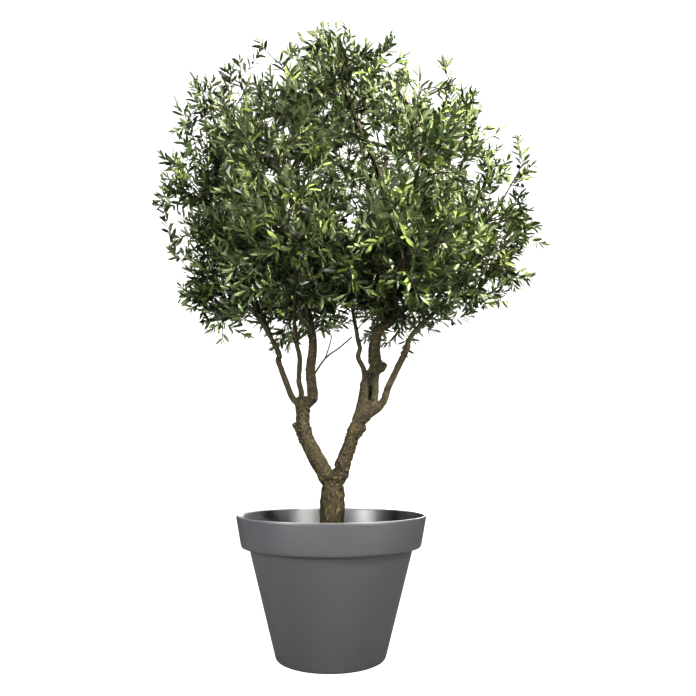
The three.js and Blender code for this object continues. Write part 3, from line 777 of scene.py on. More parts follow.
def tube_mesh(curves, rings, sides):
    """Points and four-cornered faces of closed tubes. Each curve comes with its two end radii."""
    ts = np.linspace(0, 1, rings)
    centres = np.array([curve.points(ts) for curve, _, _ in curves])
    alongs = unit(np.gradient(centres, axis=1))
    thick = np.array([(a, b) for _, a, b in curves], float)
    radii = thick[:, :1] + (thick[:, 1:] - thick[:, :1]) * ts
    radii[:, 0] *= 1.25
    reference = np.where(np.abs(alongs[:, :1, 2:]) < 0.9, UP, np.array((1.0, 0.0, 0.0)))
    u = unit(np.cross(alongs, np.broadcast_to(reference, alongs.shape)))
    v = np.cross(alongs, u)
    turns = np.arange(sides) * 2 * math.pi / sides
    ring = (
        u[:, :, None] * np.cos(turns)[:, None]
        + v[:, :, None] * np.sin(turns)[:, None]
    ) * radii[:, :, None, None]
    points = (centres[:, :, None] + ring).reshape(len(curves), -1, 3)
    return points.reshape(-1, 3), repeated(ring_walls(rings, sides), len(curves), rings * sides)


def ring_walls(rings, sides):
    """The four-cornered faces between rings of points."""
    step = np.arange(sides)
    low = np.stack([step, (step + 1) % sides], axis=1)
    wall = np.concatenate([low, low[:, ::-1] + sides], axis=1)
    return repeated(wall, rings - 1, sides)


def repeated(faces, times, points):
    """The faces of one shape, once for each of many such shapes that have so many points each."""
    starts = np.arange(times) * points
    return (faces[None] + starts[:, None, None]).reshape(-1, faces.shape[1])


def joined(parts):
    """Several (points, faces) made into one."""
    points, faces, start = [], [], 0
    for part_points, part_faces in parts:
        points.append(part_points)
        faces.append(part_faces + start)
        start += len(part_points)
    return np.vstack(points), np.vstack(faces)


# ---------------------------------------------------------------- materials


class Shader:
    """A material built node by node."""

    def __init__(self, name, color, roughness, **sockets):
        self.material = bpy.data.materials.new(name)
        self.material.use_nodes = True
        self.tree = self.material.node_tree
        self.surface = self.tree.nodes["Principled BSDF"]
        for socket, value in {"Base_Color": (*color, 1.0), "Roughness": roughness, **sockets}.items():
            self.surface.inputs[socket.replace("_", " ")].default_value = value
        self.coordinates = self.tree.nodes.new("ShaderNodeTexCoord").outputs["Object"]

    def node(self, kind, links=(), **values):
        """A new node, its sockets fed from `links` and its own settings from `values`."""
        node = self.tree.nodes.new("ShaderNode" + kind)
        for key, value in values.items():
            setattr(node, key, value)
        for socket, source in dict(links).items():
            self.feed(node.inputs[socket], source)
        return node

    def feed(self, target, source):
        """Links a socket to another one, or sets its value."""
        if isinstance(source, bpy.types.NodeSocket):
            self.tree.links.new(source, target)
        else:
            target.default_value = source

    def stretched(self, scale):
        """Object coordinates, scaled apart along the three axes."""
        return self.node("Mapping", {"Vector": self.coordinates, "Scale": scale}).outputs["Vector"]

    def noise(self, scale, detail=4.0, roughness=0.55, vector=None):
        links = {"Vector": vector or self.coordinates, "Scale": scale, "Detail": detail}
        return self.node("TexNoise", {**links, "Roughness": roughness}).outputs["Fac"]

    def cells(self, scale):
        return self.node("TexVoronoi", {"Vector": self.coordinates, "Scale": scale}).outputs["Distance"]

    def ranged(self, value, low, high, to_low, to_high):
        """A value moved from one range to another and kept inside it."""
        links = {"Value": value, "From Min": low, "From Max": high, "To Min": to_low, "To Max": to_high}
        return self.node("MapRange", links).outputs["Result"]

    def mixed(self, factor, first, second):
        node = self.node("Mix", data_type="RGBA")
        self.feed(node.inputs["Factor"], factor)
        for socket, color in ((node.inputs[6], first), (node.inputs[7], second)):
            self.feed(socket, color if isinstance(color, bpy.types.NodeSocket) else (*color, 1.0))
        return node.outputs[2]

    def color(self, base, layers=()):
        """Colours laid over a base. Each is (what it follows, from, to, how strong at most, colour)."""
        for value, low, high, most, color in layers:
            base = self.mixed(self.ranged(value, low, high, 0.0, most), base, color)
        self.feed(self.surface.inputs["Base Color"], base)

    def roughness(self, source):
        self.feed(self.surface.inputs["Roughness"], source)

    def bump(self, layers):
        """Bumps laid over each other. Each is (height, strength, depth in metres)."""
        normal = None
        for height, strength, depth in layers:
            links = {"Height": height, "Strength": strength, "Distance": depth}
            if normal is not None:
                links["Normal"] = normal
            normal = self.node("Bump", links).outputs["Normal"]
        self.feed(self.surface.inputs["Normal"], normal)


def scaled(color, factor):
    """A colour made darker or lighter."""
    return tuple(min(channel * factor, 1.0) for channel in color)


def moulded_plastic(name, color, roughness):
    """Satin plastic, a little cloudy, with pale edges that are a painted highlight."""
    shade = Shader(name, color, roughness)
    cloudy = shade.noise(5.0, detail=3.0)
    grain = shade.noise(900.0, detail=2.0)
    # Painted highlight: sharp edges, such as the lip, are coloured paler.
    edges = shade.node("NewGeometry").outputs["Pointiness"]
    base = shade.mixed(cloudy, scaled(color, 0.9), scaled(color, 1.08))
    shade.color(base, [(edges, 0.52, 0.6, 0.8, scaled(color, 2.2))])
    shade.roughness(shade.ranged(cloudy, 0.3, 0.7, roughness - 0.04, roughness + 0.05))
    shade.bump([(grain, 0.12, 0.0003)])
    return shade.material


def potting_soil(name, color):
    """Dark crumbly soil with paler flecks."""
    shade = Shader(name, color, 0.95)
    lumps = shade.noise(90.0, detail=6.0, roughness=0.7)
    flecks = shade.cells(420.0)
    pale = tuple(min(c * 2.6 + 0.02, 1.0) for c in color)
    shade.color(scaled(color, 0.4), [(lumps, 0.35, 0.7, 1.0, color), (flecks, 0.32, 0.12, 0.55, pale)])
    shade.bump([(lumps, 0.8, 0.004), (flecks, 0.4, 0.001)])
    return shade.material


def olive_bark(name, dark, middle, pale):
    """Scaly bark: olive-brown plates with mossy patches and dark pits. Ridges are paler and cracks darker,
    partly the bark's own colour and partly painted highlight and painted shade; painted shade also darkens
    the hollows and the limbs towards their outlines.
    """
    shade = Shader(name, middle, 0.8)
    relief = shade.node("Attribute", attribute_name="relief").outputs["Fac"]
    broad = shade.noise(14.0, detail=4.0, vector=shade.stretched((1.0, 1.0, 0.5)))
    patches = shade.noise(85.0, detail=5.0, roughness=0.65)
    flecks = shade.noise(380.0, detail=3.0, roughness=0.7, vector=shade.stretched((1.0, 1.0, 0.6)))
    pits = shade.noise(230.0, detail=3.0, roughness=0.6, vector=shade.stretched((1.0, 1.0, 1.5)))
    # How far the bark turns away from the view, used for painted shade at the limbs' outlines.
    sides = shade.node("LayerWeight", {"Blend": 0.5}).outputs["Facing"]
    mossy = (middle[0] * 0.8, middle[1], middle[2] * 0.7)
    shade.color(middle, [
        (broad, 0.4, 0.62, 1.0, mossy),
        (patches, 0.4, 0.62, 0.5, dark),
        # Paler on the ridges: partly the bark's own colour and partly a painted highlight.
        (relief, 0.5, 0.72, 0.75, pale),
        (flecks, 0.52, 0.68, 0.7, pale),
        (pits, 0.44, 0.32, 0.85, dark),
        # Darker in the cracks, partly the bark's own colour and partly painted shade, and in the hollows,
        # painted shade.
        (relief, 0.46, 0.22, 0.9, dark),
        # Painted shade: the bark darkens towards each limb's outline.
        (sides, 0.45, 0.9, 0.92, dark),
    ])
    shade.roughness(shade.ranged(patches, 0.35, 0.65, 0.72, 0.9))
    shade.bump([(patches, 0.8, 0.0026), (pits, 0.7, 0.0014), (flecks, 0.6, 0.0009)])
    return shade.material


def young_wood(name, color, change):
    """Smooth young bark, in patches of its colour and of a darker or lighter one."""
    shade = Shader(name, color, 0.7)
    patches = shade.noise(60.0, detail=3.0)
    flecks = shade.noise(500.0, detail=3.0)
    shade.color(color, [(patches, 0.35, 0.65, 1.0, scaled(color, change))])
    shade.bump([(flecks, 0.3, 0.0004)])
    return shade.material


def leaf_surface(name, color, roughness, spread):
    """One side of the leaves, lighter and darker in soft patches."""
    shade = Shader(name, color, roughness, Specular_IOR_Level=0.5)
    cloudy = shade.noise(38.0, detail=2.0)
    fine = shade.noise(700.0, detail=2.0)
    shade.color(scaled(color, 1 - spread), [(cloudy, 0.32, 0.68, 1.0, scaled(color, 1 + spread))])
    shade.roughness(shade.ranged(fine, 0.3, 0.7, roughness - 0.05, roughness + 0.08))
    shade.bump([(fine, 0.12, 0.0003)])
    return shade.material


def olive_skin(name, color, bloom):
    """Smooth skin with a pale bloom on it in clouds and specks."""
    shade = Shader(name, color, 0.32, Coat_Weight=0.15, Coat_Roughness=0.3)
    cloudy = shade.noise(160.0, detail=3.0)
    specks = shade.cells(900.0)
    shade.color(color, [(cloudy, 0.42, 0.75, 0.6, bloom), (specks, 0.16, 0.08, 0.4, bloom)])
    shade.roughness(shade.ranged(cloudy, 0.4, 0.7, 0.28, 0.5))
    return shade.material


def studio_floor(name, color, glow):
    """A pale floor that is seen nearly white, with only a faint shadow on it."""
    shade = Shader(name, color, 0.9)
    cloudy = shade.noise(0.6, detail=2.0)
    shade.color(shade.mixed(cloudy, scaled(color, 0.99), color))
    white = shade.node("Emission", {"Color": (1.0, 1.0, 1.0, 1.0)})
    rays = shade.node("LightPath")
    seen = shade.ranged(rays.outputs["Is Camera Ray"], 0.0, 1.0, 0.0, glow)
    blend = shade.node("MixShader", {0: seen, 1: shade.surface.outputs[0], 2: white.outputs[0]})
    shade.tree.links.new(blend.outputs[0], shade.tree.nodes["Material Output"].inputs["Surface"])
    return shade.material


# ---------------------------------------------------------------- bark

# How large the bark's forms are and how far they rise, in millimetres.
FULL_RELIEF = 22  # a limb has the whole relief from this radius on
LONG_LUMP, LONG_LUMP_RISE = 30, 2.8
LUMP, LUMP_RISE = 14, 2.9
PLATE, PLATE_RISE = 9, 2.2
FLAKE, FLAKE_RISE = 4.6, 0.8
STRAND, STRAND_RISE = 3.6, 1.3
GRAIN, GRAIN_RISE = 3.4, 0.3
SWIRL_SIZE, SWIRL = 15, 7  # size of the swirls that bend the plates, and how far they bend them
SCALY_PATCH = 40


class LimbMap:
    """Finds which limb a point of bark belongs to, and where on that limb it is."""

    def __init__(self, step=6.0):
        rows = []
        for limb in SKELETON.limbs.values():
            length = limb.curve.length()
            steps = max(4, math.ceil(length / step))
            ts, centres, alongs, us, vs = frames_along(limb.curve, steps)
            radii = limb.radii(ts)
            upright = limb.name == "trunk"
            for i in range(steps + 1):
                rows.append((centres[i], alongs[i], us[i], vs[i], radii[i], ts[i] * length, upright))
        self.rows = rows
        self.tree = point_tree([row[0] for row in rows])

    def locate(self, point):
        """(radius, turn, run, upright): the limb's radius, the angle round it and the way along it."""
        near = self.tree.find_n(point, 5)
        best = min(near, key=lambda hit: hit[2] - self.rows[hit[1]][4])
        centre, along, u, v, radius, run, upright = self.rows[best[1]]
        offset = point - centre
        return radius, math.atan2(offset @ v, offset @ u), run + offset @ along, upright


def limb_tube(limb, sides, step, low, high):
    """A closed tube round the part of a limb between two heights, or None where it has none.

    It has a collar where it leaves a thicker parent and a domed tip.
    """
    length = limb.curve.length()
    steps = max(6, math.ceil(length / step))
    ts, centres, alongs, us, vs = frames_along(limb.curve, steps)
    radii = limb.radii(ts)
    if limb.plan.get("parent"):
        parent = SKELETON.limbs[limb.plan["parent"]]
        room = float(parent.radii(np.array([limb.plan["at"]]))[0]) * 0.95 / radii[0] - 1
        collar = min(THICKEST_COLLAR, max(room, 0))
        radii = radii * (1 + collar * np.exp(-ts * length / (1.6 * radii[0])))
    turns = np.arange(sides) * 2 * math.pi / sides
    ring = us[:, None] * np.sin(turns)[:, None] + vs[:, None] * np.cos(turns)[:, None]
    inside = np.flatnonzero((centres[:, 2] >= low) & (centres[:, 2] <= high))
    if len(inside) < 2:
        return None
    part = slice(inside[0], inside[-1] + 1)
    rings = [centres[part, None] + ring[part] * radii[part, None, None]]
    dome = limb.plan.get("dome", 0.85)
    last = inside[-1]
    for polar in np.radians((24, 48, 68, 84)):
        tip = centres[last] + alongs[last] * radii[last] * math.sin(polar) * dome
        rings.append((tip + ring[last] * radii[last] * math.cos(polar))[None])
    points = np.concatenate(rings)
    return points.reshape(-1, 3), tube_faces(len(points), sides)


def stub_tube(limb, at, bearing, radius, length):
    """What is left of a cut branch: a shoulder that narrows to the healed cut."""
    way = heading_of(STUB_LEAN, bearing)
    stations = ((0.1, 1.5), (0.4, 1.38), (0.65, 1.05), (0.85, 0.72), (0.96, 0.5), (1.0, 0.28), (0.99, 0.05))
    return straight_tube(limb.curve.point(at), way * length, way, radius, 16, stations)


def web_tube(start, end, radius):
    """Bark that has grown together, with narrowed ends."""
    stations = ((0, 0.3), (0.15, 0.9), (0.5, 1.0), (0.85, 0.9), (1.0, 0.3))
    return straight_tube(start, end - start, unit(end - start), radius, 12, stations)


def straight_tube(start, run, way, radius, sides, stations):
    """A straight tube. Its stations are (share of its run, share of its radius)."""
    u, v = across_pair(way)
    turns = np.arange(sides) * 2 * math.pi / sides
    ring = u * np.cos(turns)[:, None] + v * np.sin(turns)[:, None]
    rings = [start + run * along + ring * radius * wide for along, wide in stations]
    return np.concatenate(rings), tube_faces(len(stations), sides)


def tube_faces(rings, sides):
    """The walls and the two flat ends of one tube, as triangles."""
    faces = []
    for r in range(rings - 1):
        for k in range(sides):
            a, b = r * sides + k, r * sides + (k + 1) % sides
            faces += [(a, b, b + sides), (a, b + sides, a + sides)]
    last = (rings - 1) * sides
    for k in range(1, sides - 1):
        faces += [(0, k + 1, k), (last, last + k, last + k + 1)]
    return np.array(faces)


def remeshed(piece, voxel, smoothing, joint_smoothing):
    """The piece as one even skin, its creases softened, and more so where limbs meet."""
    remesh = piece.modifiers.new("one_skin", "REMESH")
    remesh.mode = "VOXEL"
    remesh.voxel_size = voxel
    settled_mesh(piece)
    group = piece.vertex_groups.new(name="joints")
    limbs = SKELETON.limbs.values()
    joints = point_tree([limb.curve.point(0.0 if "parent" in limb.plan else 1.0) * MM for limb in limbs])
    rooms = [min(limb.plan["thick"], JOINT_LIMIT) * JOINT_REACH * MM for limb in limbs]
    for vertex in piece.data.vertices:
        _, index, gap = joints.find(vertex.co)
        if gap < rooms[index]:
            group.add((vertex.index,), 1 - (gap / rooms[index]) ** 2, "REPLACE")
    for name, rounds in (("soften", smoothing), ("joints", joint_smoothing)):
        soften = piece.modifiers.new(name, "SMOOTH")
        soften.factor = 0.5
        soften.iterations = rounds
    soften.vertex_group = group.name
    settled_mesh(piece)
    return piece


def settled_mesh(piece):
    """Makes what the modifiers give into the piece's own mesh."""
    depsgraph = bpy.context.evaluated_depsgraph_get()
    mesh = bpy.data.meshes.new_from_object(piece.evaluated_get(depsgraph))
    old = piece.data
    piece.modifiers.clear()
    piece.data = mesh
    bpy.data.meshes.remove(old)


def bark_relief(radius, turn, run, upright, point, gnarl, fissure):
    """How far the bark stands out, in millimetres, and how far that is a ridge or a crack.

    The bark is scaly in some places and stranded in others, with lumps and a fine grain on both.
    """
    ring = Vector((math.cos(turn) * radius, math.sin(turn) * radius, run))
    size = min(radius / FULL_RELIEF, 1.2)
    long_lumps = noise.noise(Vector((ring.x, ring.y, ring.z * 0.5)) / LONG_LUMP)
    lumps = long_lumps * LONG_LUMP_RISE + noise.noise(ring / LUMP) * LUMP_RISE
    drawn = ring + noise.noise_vector(ring / SWIRL_SIZE) * SWIRL
    drawn.z *= 0.6 if upright else 1.5
    near = noise.voronoi(drawn / PLATE)[0]
    ridge = min((near[1] - near[0]) * 1.9, 1.0) - 0.6
    strands = noise.noise(Vector((drawn.x, drawn.y, drawn.z * 0.22)) / STRAND)
    flakes = noise.noise(drawn / FLAKE)
    grain = noise.fractal(Vector(point) / GRAIN, 0.8, 2.0, 2)
    scaly = min(max(0.7 + 1.7 * noise.noise(ring / SCALY_PATCH + Vector((7, 3, 5))), 0.3), 1.0)
    plates = scaly * (PLATE_RISE * ridge + FLAKE_RISE * flakes)
    plates += (1 - scaly) * STRAND_RISE * strands
    plates += GRAIN_RISE * grain
    # The second value sets the colour: paler on the ridges and darker in the cracks, partly the bark's own
    # colour and partly painted highlight and painted shade.
    return size * (gnarl * lumps + fissure * plates), 0.5 + 0.28 * plates


def hollow_depth(point):
    """How deep a hollow or a slit between two limbs is cut at a point."""
    depth = 0.0
    point = point + np.array(noise.noise_vector(Vector(point) / 8)) * RAGGED
    for start, end, radius, deep in HOLLOWS:
        run = end - start
        t = min(max(np.dot(point - start, run) / np.dot(run, run), 0), 1)
        gap = np.linalg.norm(point - start - run * t)
        depth = max(depth, deep * math.exp(-((gap / radius) ** 2)))
    return depth


def make_bark(settings):
    """The trunk, boughs and limbs as two skins of bark, a finer one below the leaves."""
    noise.seed_set(BARK_SEED)
    limb_map = LimbMap()
    seam = settings.seam_height / MM
    named = [limb.name for limb in SKELETON.limbs.values() if limb.plan.get("strides")]
    stout = [limb for limb in SKELETON.limbs.values() if limb.plan["thick"] > THICKEST_TWIG]
    others = [name for name in SKELETON.limbs if name not in named]
    pieces = []
    for name, low, high, voxel, nodes in (
        ("bark_trunk_and_boughs", 0.0, seam + SEAM_LAP, settings.fine_voxel, named),
        ("bark_upper_limbs", seam, math.inf, settings.coarse_voxel, others),
    ):
        tubes = []
        for limb in stout:
            thick = limb.plan["thick"]
            sides = 32 if thick > 15 else 20 if thick > 8 else 12
            tubes.append(limb_tube(limb, sides, RING_STEP, low, high))
            if low == 0:
                tubes.extend(stub_tube(limb, *stub) for stub in limb.plan.get("stubs", ()))
        if low == 0:
            tubes.extend(web_tube(*web) for web in WEBS)
        points, faces = joined([tube for tube in tubes if tube])
        piece = remeshed(
            mesh_object(name, points, faces), voxel, settings.smoothing, settings.joint_smoothing
        )
        roughen(piece, limb_map, settings.gnarl, settings.fissure)
        piece.data.materials.clear()
        pieces.append((piece, nodes))
    return pieces


def roughen(piece, limb_map, gnarl, fissure):
    """Pushes every point of the bark out or in by the relief, and keeps the relief for its colour."""
    mesh = piece.data
    count = len(mesh.vertices)
    places = np.empty(count * 3, np.float32)
    mesh.vertices.foreach_get("co", places)
    places = places.reshape(-1, 3) / MM
    normals = np.empty(count * 3, np.float32)
    mesh.vertex_normals.foreach_get("vector", normals)
    normals = normals.reshape(-1, 3)
    push, relief = np.empty(count), np.empty(count, np.float32)
    for i, place in enumerate(places):
        push[i], relief[i] = bark_relief(*limb_map.locate(place), place, gnarl, fissure)
        if HOLLOWS_LOW < place[2] < HOLLOWS_HIGH:
            faces_front = normals[i][1] < 0.3
            cut = hollow_depth(place) * faces_front
            push[i] -= cut
            # Painted shade: the deeper a hollow is cut, the darker it is coloured.
            relief[i] -= cut / HOLLOW_SHADE_DEPTH
    places += normals * push[:, None]
    mesh.vertices.foreach_set("co", (places * MM).astype(np.float32).ravel())
    mesh.attributes.new("relief", "FLOAT", "POINT").data.foreach_set("value", relief)
    mesh.polygons.foreach_set("use_smooth", np.full(len(mesh.polygons), True))
    mesh.update()


# ---------------------------------------------------------------- leaves and fruit

# The blade's outline, as (along, half width, height) shares of its length and half width.
LEAF_POINTS = np.array([
    (0.0, 0.0, 0.0),
    (0.3, 0.92, 0.15), (0.3, 0.0, 0.0), (0.3, -0.92, 0.15),
    (0.7, 0.94, 0.16), (0.7, 0.0, 0.0), (0.7, -0.94, 0.16),
    (1.0, 0.0, 0.04),
])
LEAF_FACES = np.array([
    (0, 2, 1), (0, 3, 2), (1, 2, 5), (1, 5, 4), (2, 3, 6), (2, 6, 5), (4, 5, 7), (5, 6, 7),
])
LEAF_BODY, LEAF_EDGE = 0.5, 0.03  # thickness at the midrib and at the edge
LEAF_SPLIT = 1400  # each tone of leaf is one piece below this height and one above it


def leaf_mesh(leaves, width_share):
    """Points and faces of leaf blades: an upper and a lower skin that all but meet at the edge."""
    root, way, across, face, size, bend, _ = (np.array(column) for column in zip(*leaves))
    half = size * width_share / 2
    x, y, z = LEAF_POINTS.T
    lift = z[None] * half[:, None] * 1.2 - bend[:, None] * (x**2)[None] * size[:, None]
    upper = (
        root[:, None]
        + way[:, None] * (x[None] * size[:, None])[..., None]
        + across[:, None] * (y[None] * half[:, None])[..., None]
        + face[:, None] * lift[..., None]
    )
    midrib = (np.abs(y) < 0.01) & (x > 0.01) & (x < 0.99)
    lower = upper - face[:, None] * np.where(midrib, LEAF_BODY, LEAF_EDGE)[None, :, None]
    points = np.concatenate([upper, lower], axis=1)
    corners = len(LEAF_POINTS)
    faces = np.concatenate([LEAF_FACES, LEAF_FACES[:, ::-1] + corners])
    return points.reshape(-1, 3), repeated(faces, len(leaves), corners * 2)


def olive_mesh(olives, rings=7, sides=8):
    """Points and faces of plump olives, a little pointed at the far end."""
    centre, way, length, _ = (np.array(column) for column in zip(*olives))
    us, vs = (np.array(column) for column in zip(*(across_pair(w) for w in way)))
    polar = np.linspace(0.06, math.pi - 0.04, rings)
    along = -np.cos(polar) / 2
    wide = np.sin(polar) ** 0.92 * 0.37
    turns = np.arange(sides) * 2 * math.pi / sides
    ring = us[:, None] * np.cos(turns)[:, None] + vs[:, None] * np.sin(turns)[:, None]
    points = (
        centre[:, None, None]
        + way[:, None, None] * (along[None] * length[:, None])[..., None, None]
        + ring[:, None] * (wide[None] * length[:, None])[..., None, None]
    )
    return points.reshape(-1, 3), repeated(tube_faces(rings, sides), len(olives), rings * sides)


# ---------------------------------------------------------------- planter and soil

CRUST = 30  # thickness of the soil that is modelled
HEAP, HEAP_REACH = 3.5, 90  # the low heap of soil round the trunk


def rounded(profile, steps=5):
    """A profile of (radius, height, rounding) corners, with each rounding as a short arc."""
    points = []
    for i, (x, z, rounding) in enumerate(profile):
        here = np.array((x, z), float)
        if rounding == 0 or i in (0, len(profile) - 1):
            points.append(here)
            continue
        before = unit(np.array(profile[i - 1][:2]) - here) * rounding
        after = unit(np.array(profile[i + 1][:2]) - here) * rounding
        for t in np.linspace(0, 1, steps):
            points.append(here + before * (1 - t) ** 2 + after * t**2)
    return np.array(points)


def turned(profile, sides):
    """Points and faces of a shape turned about the upright axis."""
    turns = np.arange(sides) * 2 * math.pi / sides
    ring = np.stack([np.cos(turns), np.sin(turns)], axis=1)
    points = np.concatenate(
        [np.column_stack([ring * max(x, 0.01), np.full(sides, z)]) for x, z in profile]
    )
    return points, ring_walls(len(profile), sides)


def set_smooth_by_angle(piece, degrees=35):
    """Smooth shading with crisp edges where faces turn sharply."""
    mesh = piece.data
    limit = math.radians(degrees)
    normals = {}
    for polygon in mesh.polygons:
        for key in polygon.edge_keys:
            normals.setdefault(key, []).append(polygon.normal.copy())
    for edge in mesh.edges:
        pair = normals.get(edge.key, ())
        edge.use_edge_sharp = len(pair) == 2 and pair[0].angle(pair[1], 0) > limit


# ---------------------------------------------------------------- settings


def length_prop(name, about, default):
    """A length in metres that a user can change."""
    return bpy.props.FloatProperty(name=name, description=about, default=default, min=0, unit="LENGTH")


def share_prop(name, about, default):
    """A share from 0 to 1."""
    return bpy.props.FloatProperty(
        name=name, description=about, default=default, min=0, max=1, subtype="FACTOR")


def amount_prop(name, about, default):
    """A bare strength, where 0 is none."""
    return bpy.props.FloatProperty(name=name, description=about, default=default, min=0)


def count_prop(name, about, default):
    """A whole number of things."""
    return bpy.props.IntProperty(name=name, description=about, default=default, min=0)


def color_prop(name, about, default):
    """A colour, in linear light."""
    return bpy.props.FloatVectorProperty(
        name=name, description=about, default=default, min=0, max=1, subtype="COLOR")


class PlanterSettings(bpy.types.PropertyGroup):
    """Sizes and colour of the planter."""

    rim_radius: length_prop("Rim radius", "Outer radius at the lip", 0.297)
    height: length_prop("Height", "From the floor to the lip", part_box("planter")[1].z)
    band_height: length_prop("Band height", "Height of the plain band under the lip", 0.092)
    band_foot_radius: length_prop("Band foot radius", "Outer radius at the band's lower edge", 0.28)
    shoulder_radius: length_prop("Shoulder radius", "Outer radius of the wall just below the band", 0.256)
    foot_radius: length_prop("Foot radius", "Outer radius at the floor", 0.166)
    wall: length_prop("Wall", "Thickness of the moulded wall", 0.005)
    color: color_prop("Colour", "Dark grey of the moulded plastic", (0.081, 0.081, 0.0835))
    roughness: share_prop("Roughness", "Satin finish of the outer wall", 0.46)


class SoilSettings(bpy.types.PropertyGroup):
    """The look of the potting soil."""

    lump: length_prop("Lump height", "How uneven the surface is", 0.005)
    clods: count_prop("Clods", "Number of loose crumbs on the surface", 420)
    color: color_prop("Colour", "Moist potting soil", (0.045, 0.03, 0.02))


class BarkSettings(bpy.types.PropertyGroup):
    """Relief and colours of the bark."""

    fine_voxel: length_prop("Fine grain", "Size of the skin's cells below the leaves", 0.00215)
    coarse_voxel: length_prop("Coarse grain", "Size of the skin's cells among the leaves", 0.0033)
    seam_height: length_prop("Seam height", "Height where the coarse skin takes over", 1.06)
    smoothing: count_prop("Smoothing", "Rounds of smoothing of the whole skin", 10)
    joint_smoothing: count_prop("Joint smoothing", "How softly limbs grow into each other", 70)
    gnarl: amount_prop("Gnarl", "Strength of lumps and hollows", 1.0)
    fissure: amount_prop("Fissure", "Strength of the plates and the cracks between them", 1.25)
    # The pale ridges and dark cracks are partly the bark's own colours and partly painted highlight and
    # painted shade.
    dark: color_prop("Dark", "Colour in the cracks", (0.011, 0.008, 0.003))
    middle: color_prop("Middle", "Main olive brown", (0.039, 0.0275, 0.0098))
    pale: color_prop("Pale", "Dry tan ridges", (0.135, 0.1, 0.044))


class FoliageSettings(bpy.types.PropertyGroup):
    """Sizes, fullness and greens of the crown."""

    leaf_min: length_prop("Shortest leaf", "Blade length of a short leaf", 0.034)
    leaf_max: length_prop("Longest leaf", "Blade length of a long leaf", 0.052)
    leaf_width: share_prop("Leaf width", "Width as a share of the length", 0.258)
    leaf_spacing: length_prop("Leaf spacing", "Between two pairs of leaves", 0.013)
    shoot_min: length_prop("Shortest shoot", "Length of a short leafy shoot", 0.06)
    shoot_max: length_prop("Longest shoot", "Length of a long leafy shoot", 0.115)
    density: share_prop("Fullness", "Share of the shoots that grow", 0.8)
    fruit_share: share_prop("Fruit", "Share of the leaf pairs that carry olives", 0.014)
    # These greens are dealt out by spray partly at random and partly as painted light and painted shade: the
    # lighter ones on the sunny side and at the edge, the darker ones deep inside the crown.
    deep: color_prop("Deep green", "Oldest leaves", (0.011, 0.019, 0.0065))
    olive: color_prop("Olive green", "Old leaves", (0.036, 0.056, 0.016))
    green: color_prop("Middle green", "Most leaves", (0.087, 0.123, 0.03))
    fresh: color_prop("Fresh green", "New leaves", (0.165, 0.215, 0.062))
    young: color_prop("Young green", "Youngest shoots", (0.26, 0.32, 0.115))
    underside: color_prop("Underside", "Grey-green backs", (0.132, 0.166, 0.076))
    twig: color_prop("Twig", "Grey-brown twigs", (0.038, 0.033, 0.018))
    shoot: color_prop("Shoot", "Green shoots", (0.2, 0.22, 0.1))
    ripe: color_prop("Ripe olive", "Purple-black skin", (0.013, 0.008, 0.012))
    turning: color_prop("Turning olive", "Green skin turning dark", (0.09, 0.085, 0.035))


class StudioSettings(bpy.types.PropertyGroup):
    """Camera, floor and light."""

    camera_place: bpy.props.FloatVectorProperty(
        name="Camera", description="Where the camera stands", default=(0.052, -2.002, 0.57),
        subtype="TRANSLATION", unit="LENGTH")
    camera_pitch: bpy.props.FloatProperty(
        name="Pitch", description="How far the camera looks up", default=math.radians(10.87),
        subtype="ANGLE")
    camera_lens: amount_prop("Lens", "Focal length in millimetres on a 36 mm sensor", 31.66)
    floor_color: color_prop("Floor", "Pale floor", (0.22, 0.22, 0.22))
    floor_glow: share_prop("Floor glow", "How far the floor is seen as white", 0.93)
    sky: amount_prop("Sky", "Strength of the even light from all sides", 0.05)


GROUPS = {
    "olive_planter": PlanterSettings,
    "olive_soil": SoilSettings,
    "olive_bark": BarkSettings,
    "olive_foliage": FoliageSettings,
    "olive_studio": StudioSettings,
}
_grown = {}  # the crown that was grown last, by its settings


def crown_of(foliage):
    """The grown crown for these settings, grown once and kept."""
    values = dict(
        leaf_length=(foliage.leaf_min / MM, foliage.leaf_max / MM),
        leaf_spacing=foliage.leaf_spacing / MM,
        shoot_length=(foliage.shoot_min / MM, foliage.shoot_max / MM),
        density=foliage.density,
        fruit_share=foliage.fruit_share,
    )
    key = json.dumps(values, sort_keys=True)
    if key not in _grown:
        _grown.clear()
        _grown[key] = Crown(values)
    return _grown[key]


def settle(piece, nodes=()):
    """The piece rides on the tree's one body and stands for some nodes, which it hides."""
    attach(piece, "root")
    if nodes:
        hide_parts(*nodes)
    return piece


# ---------------------------------------------------------------- operators


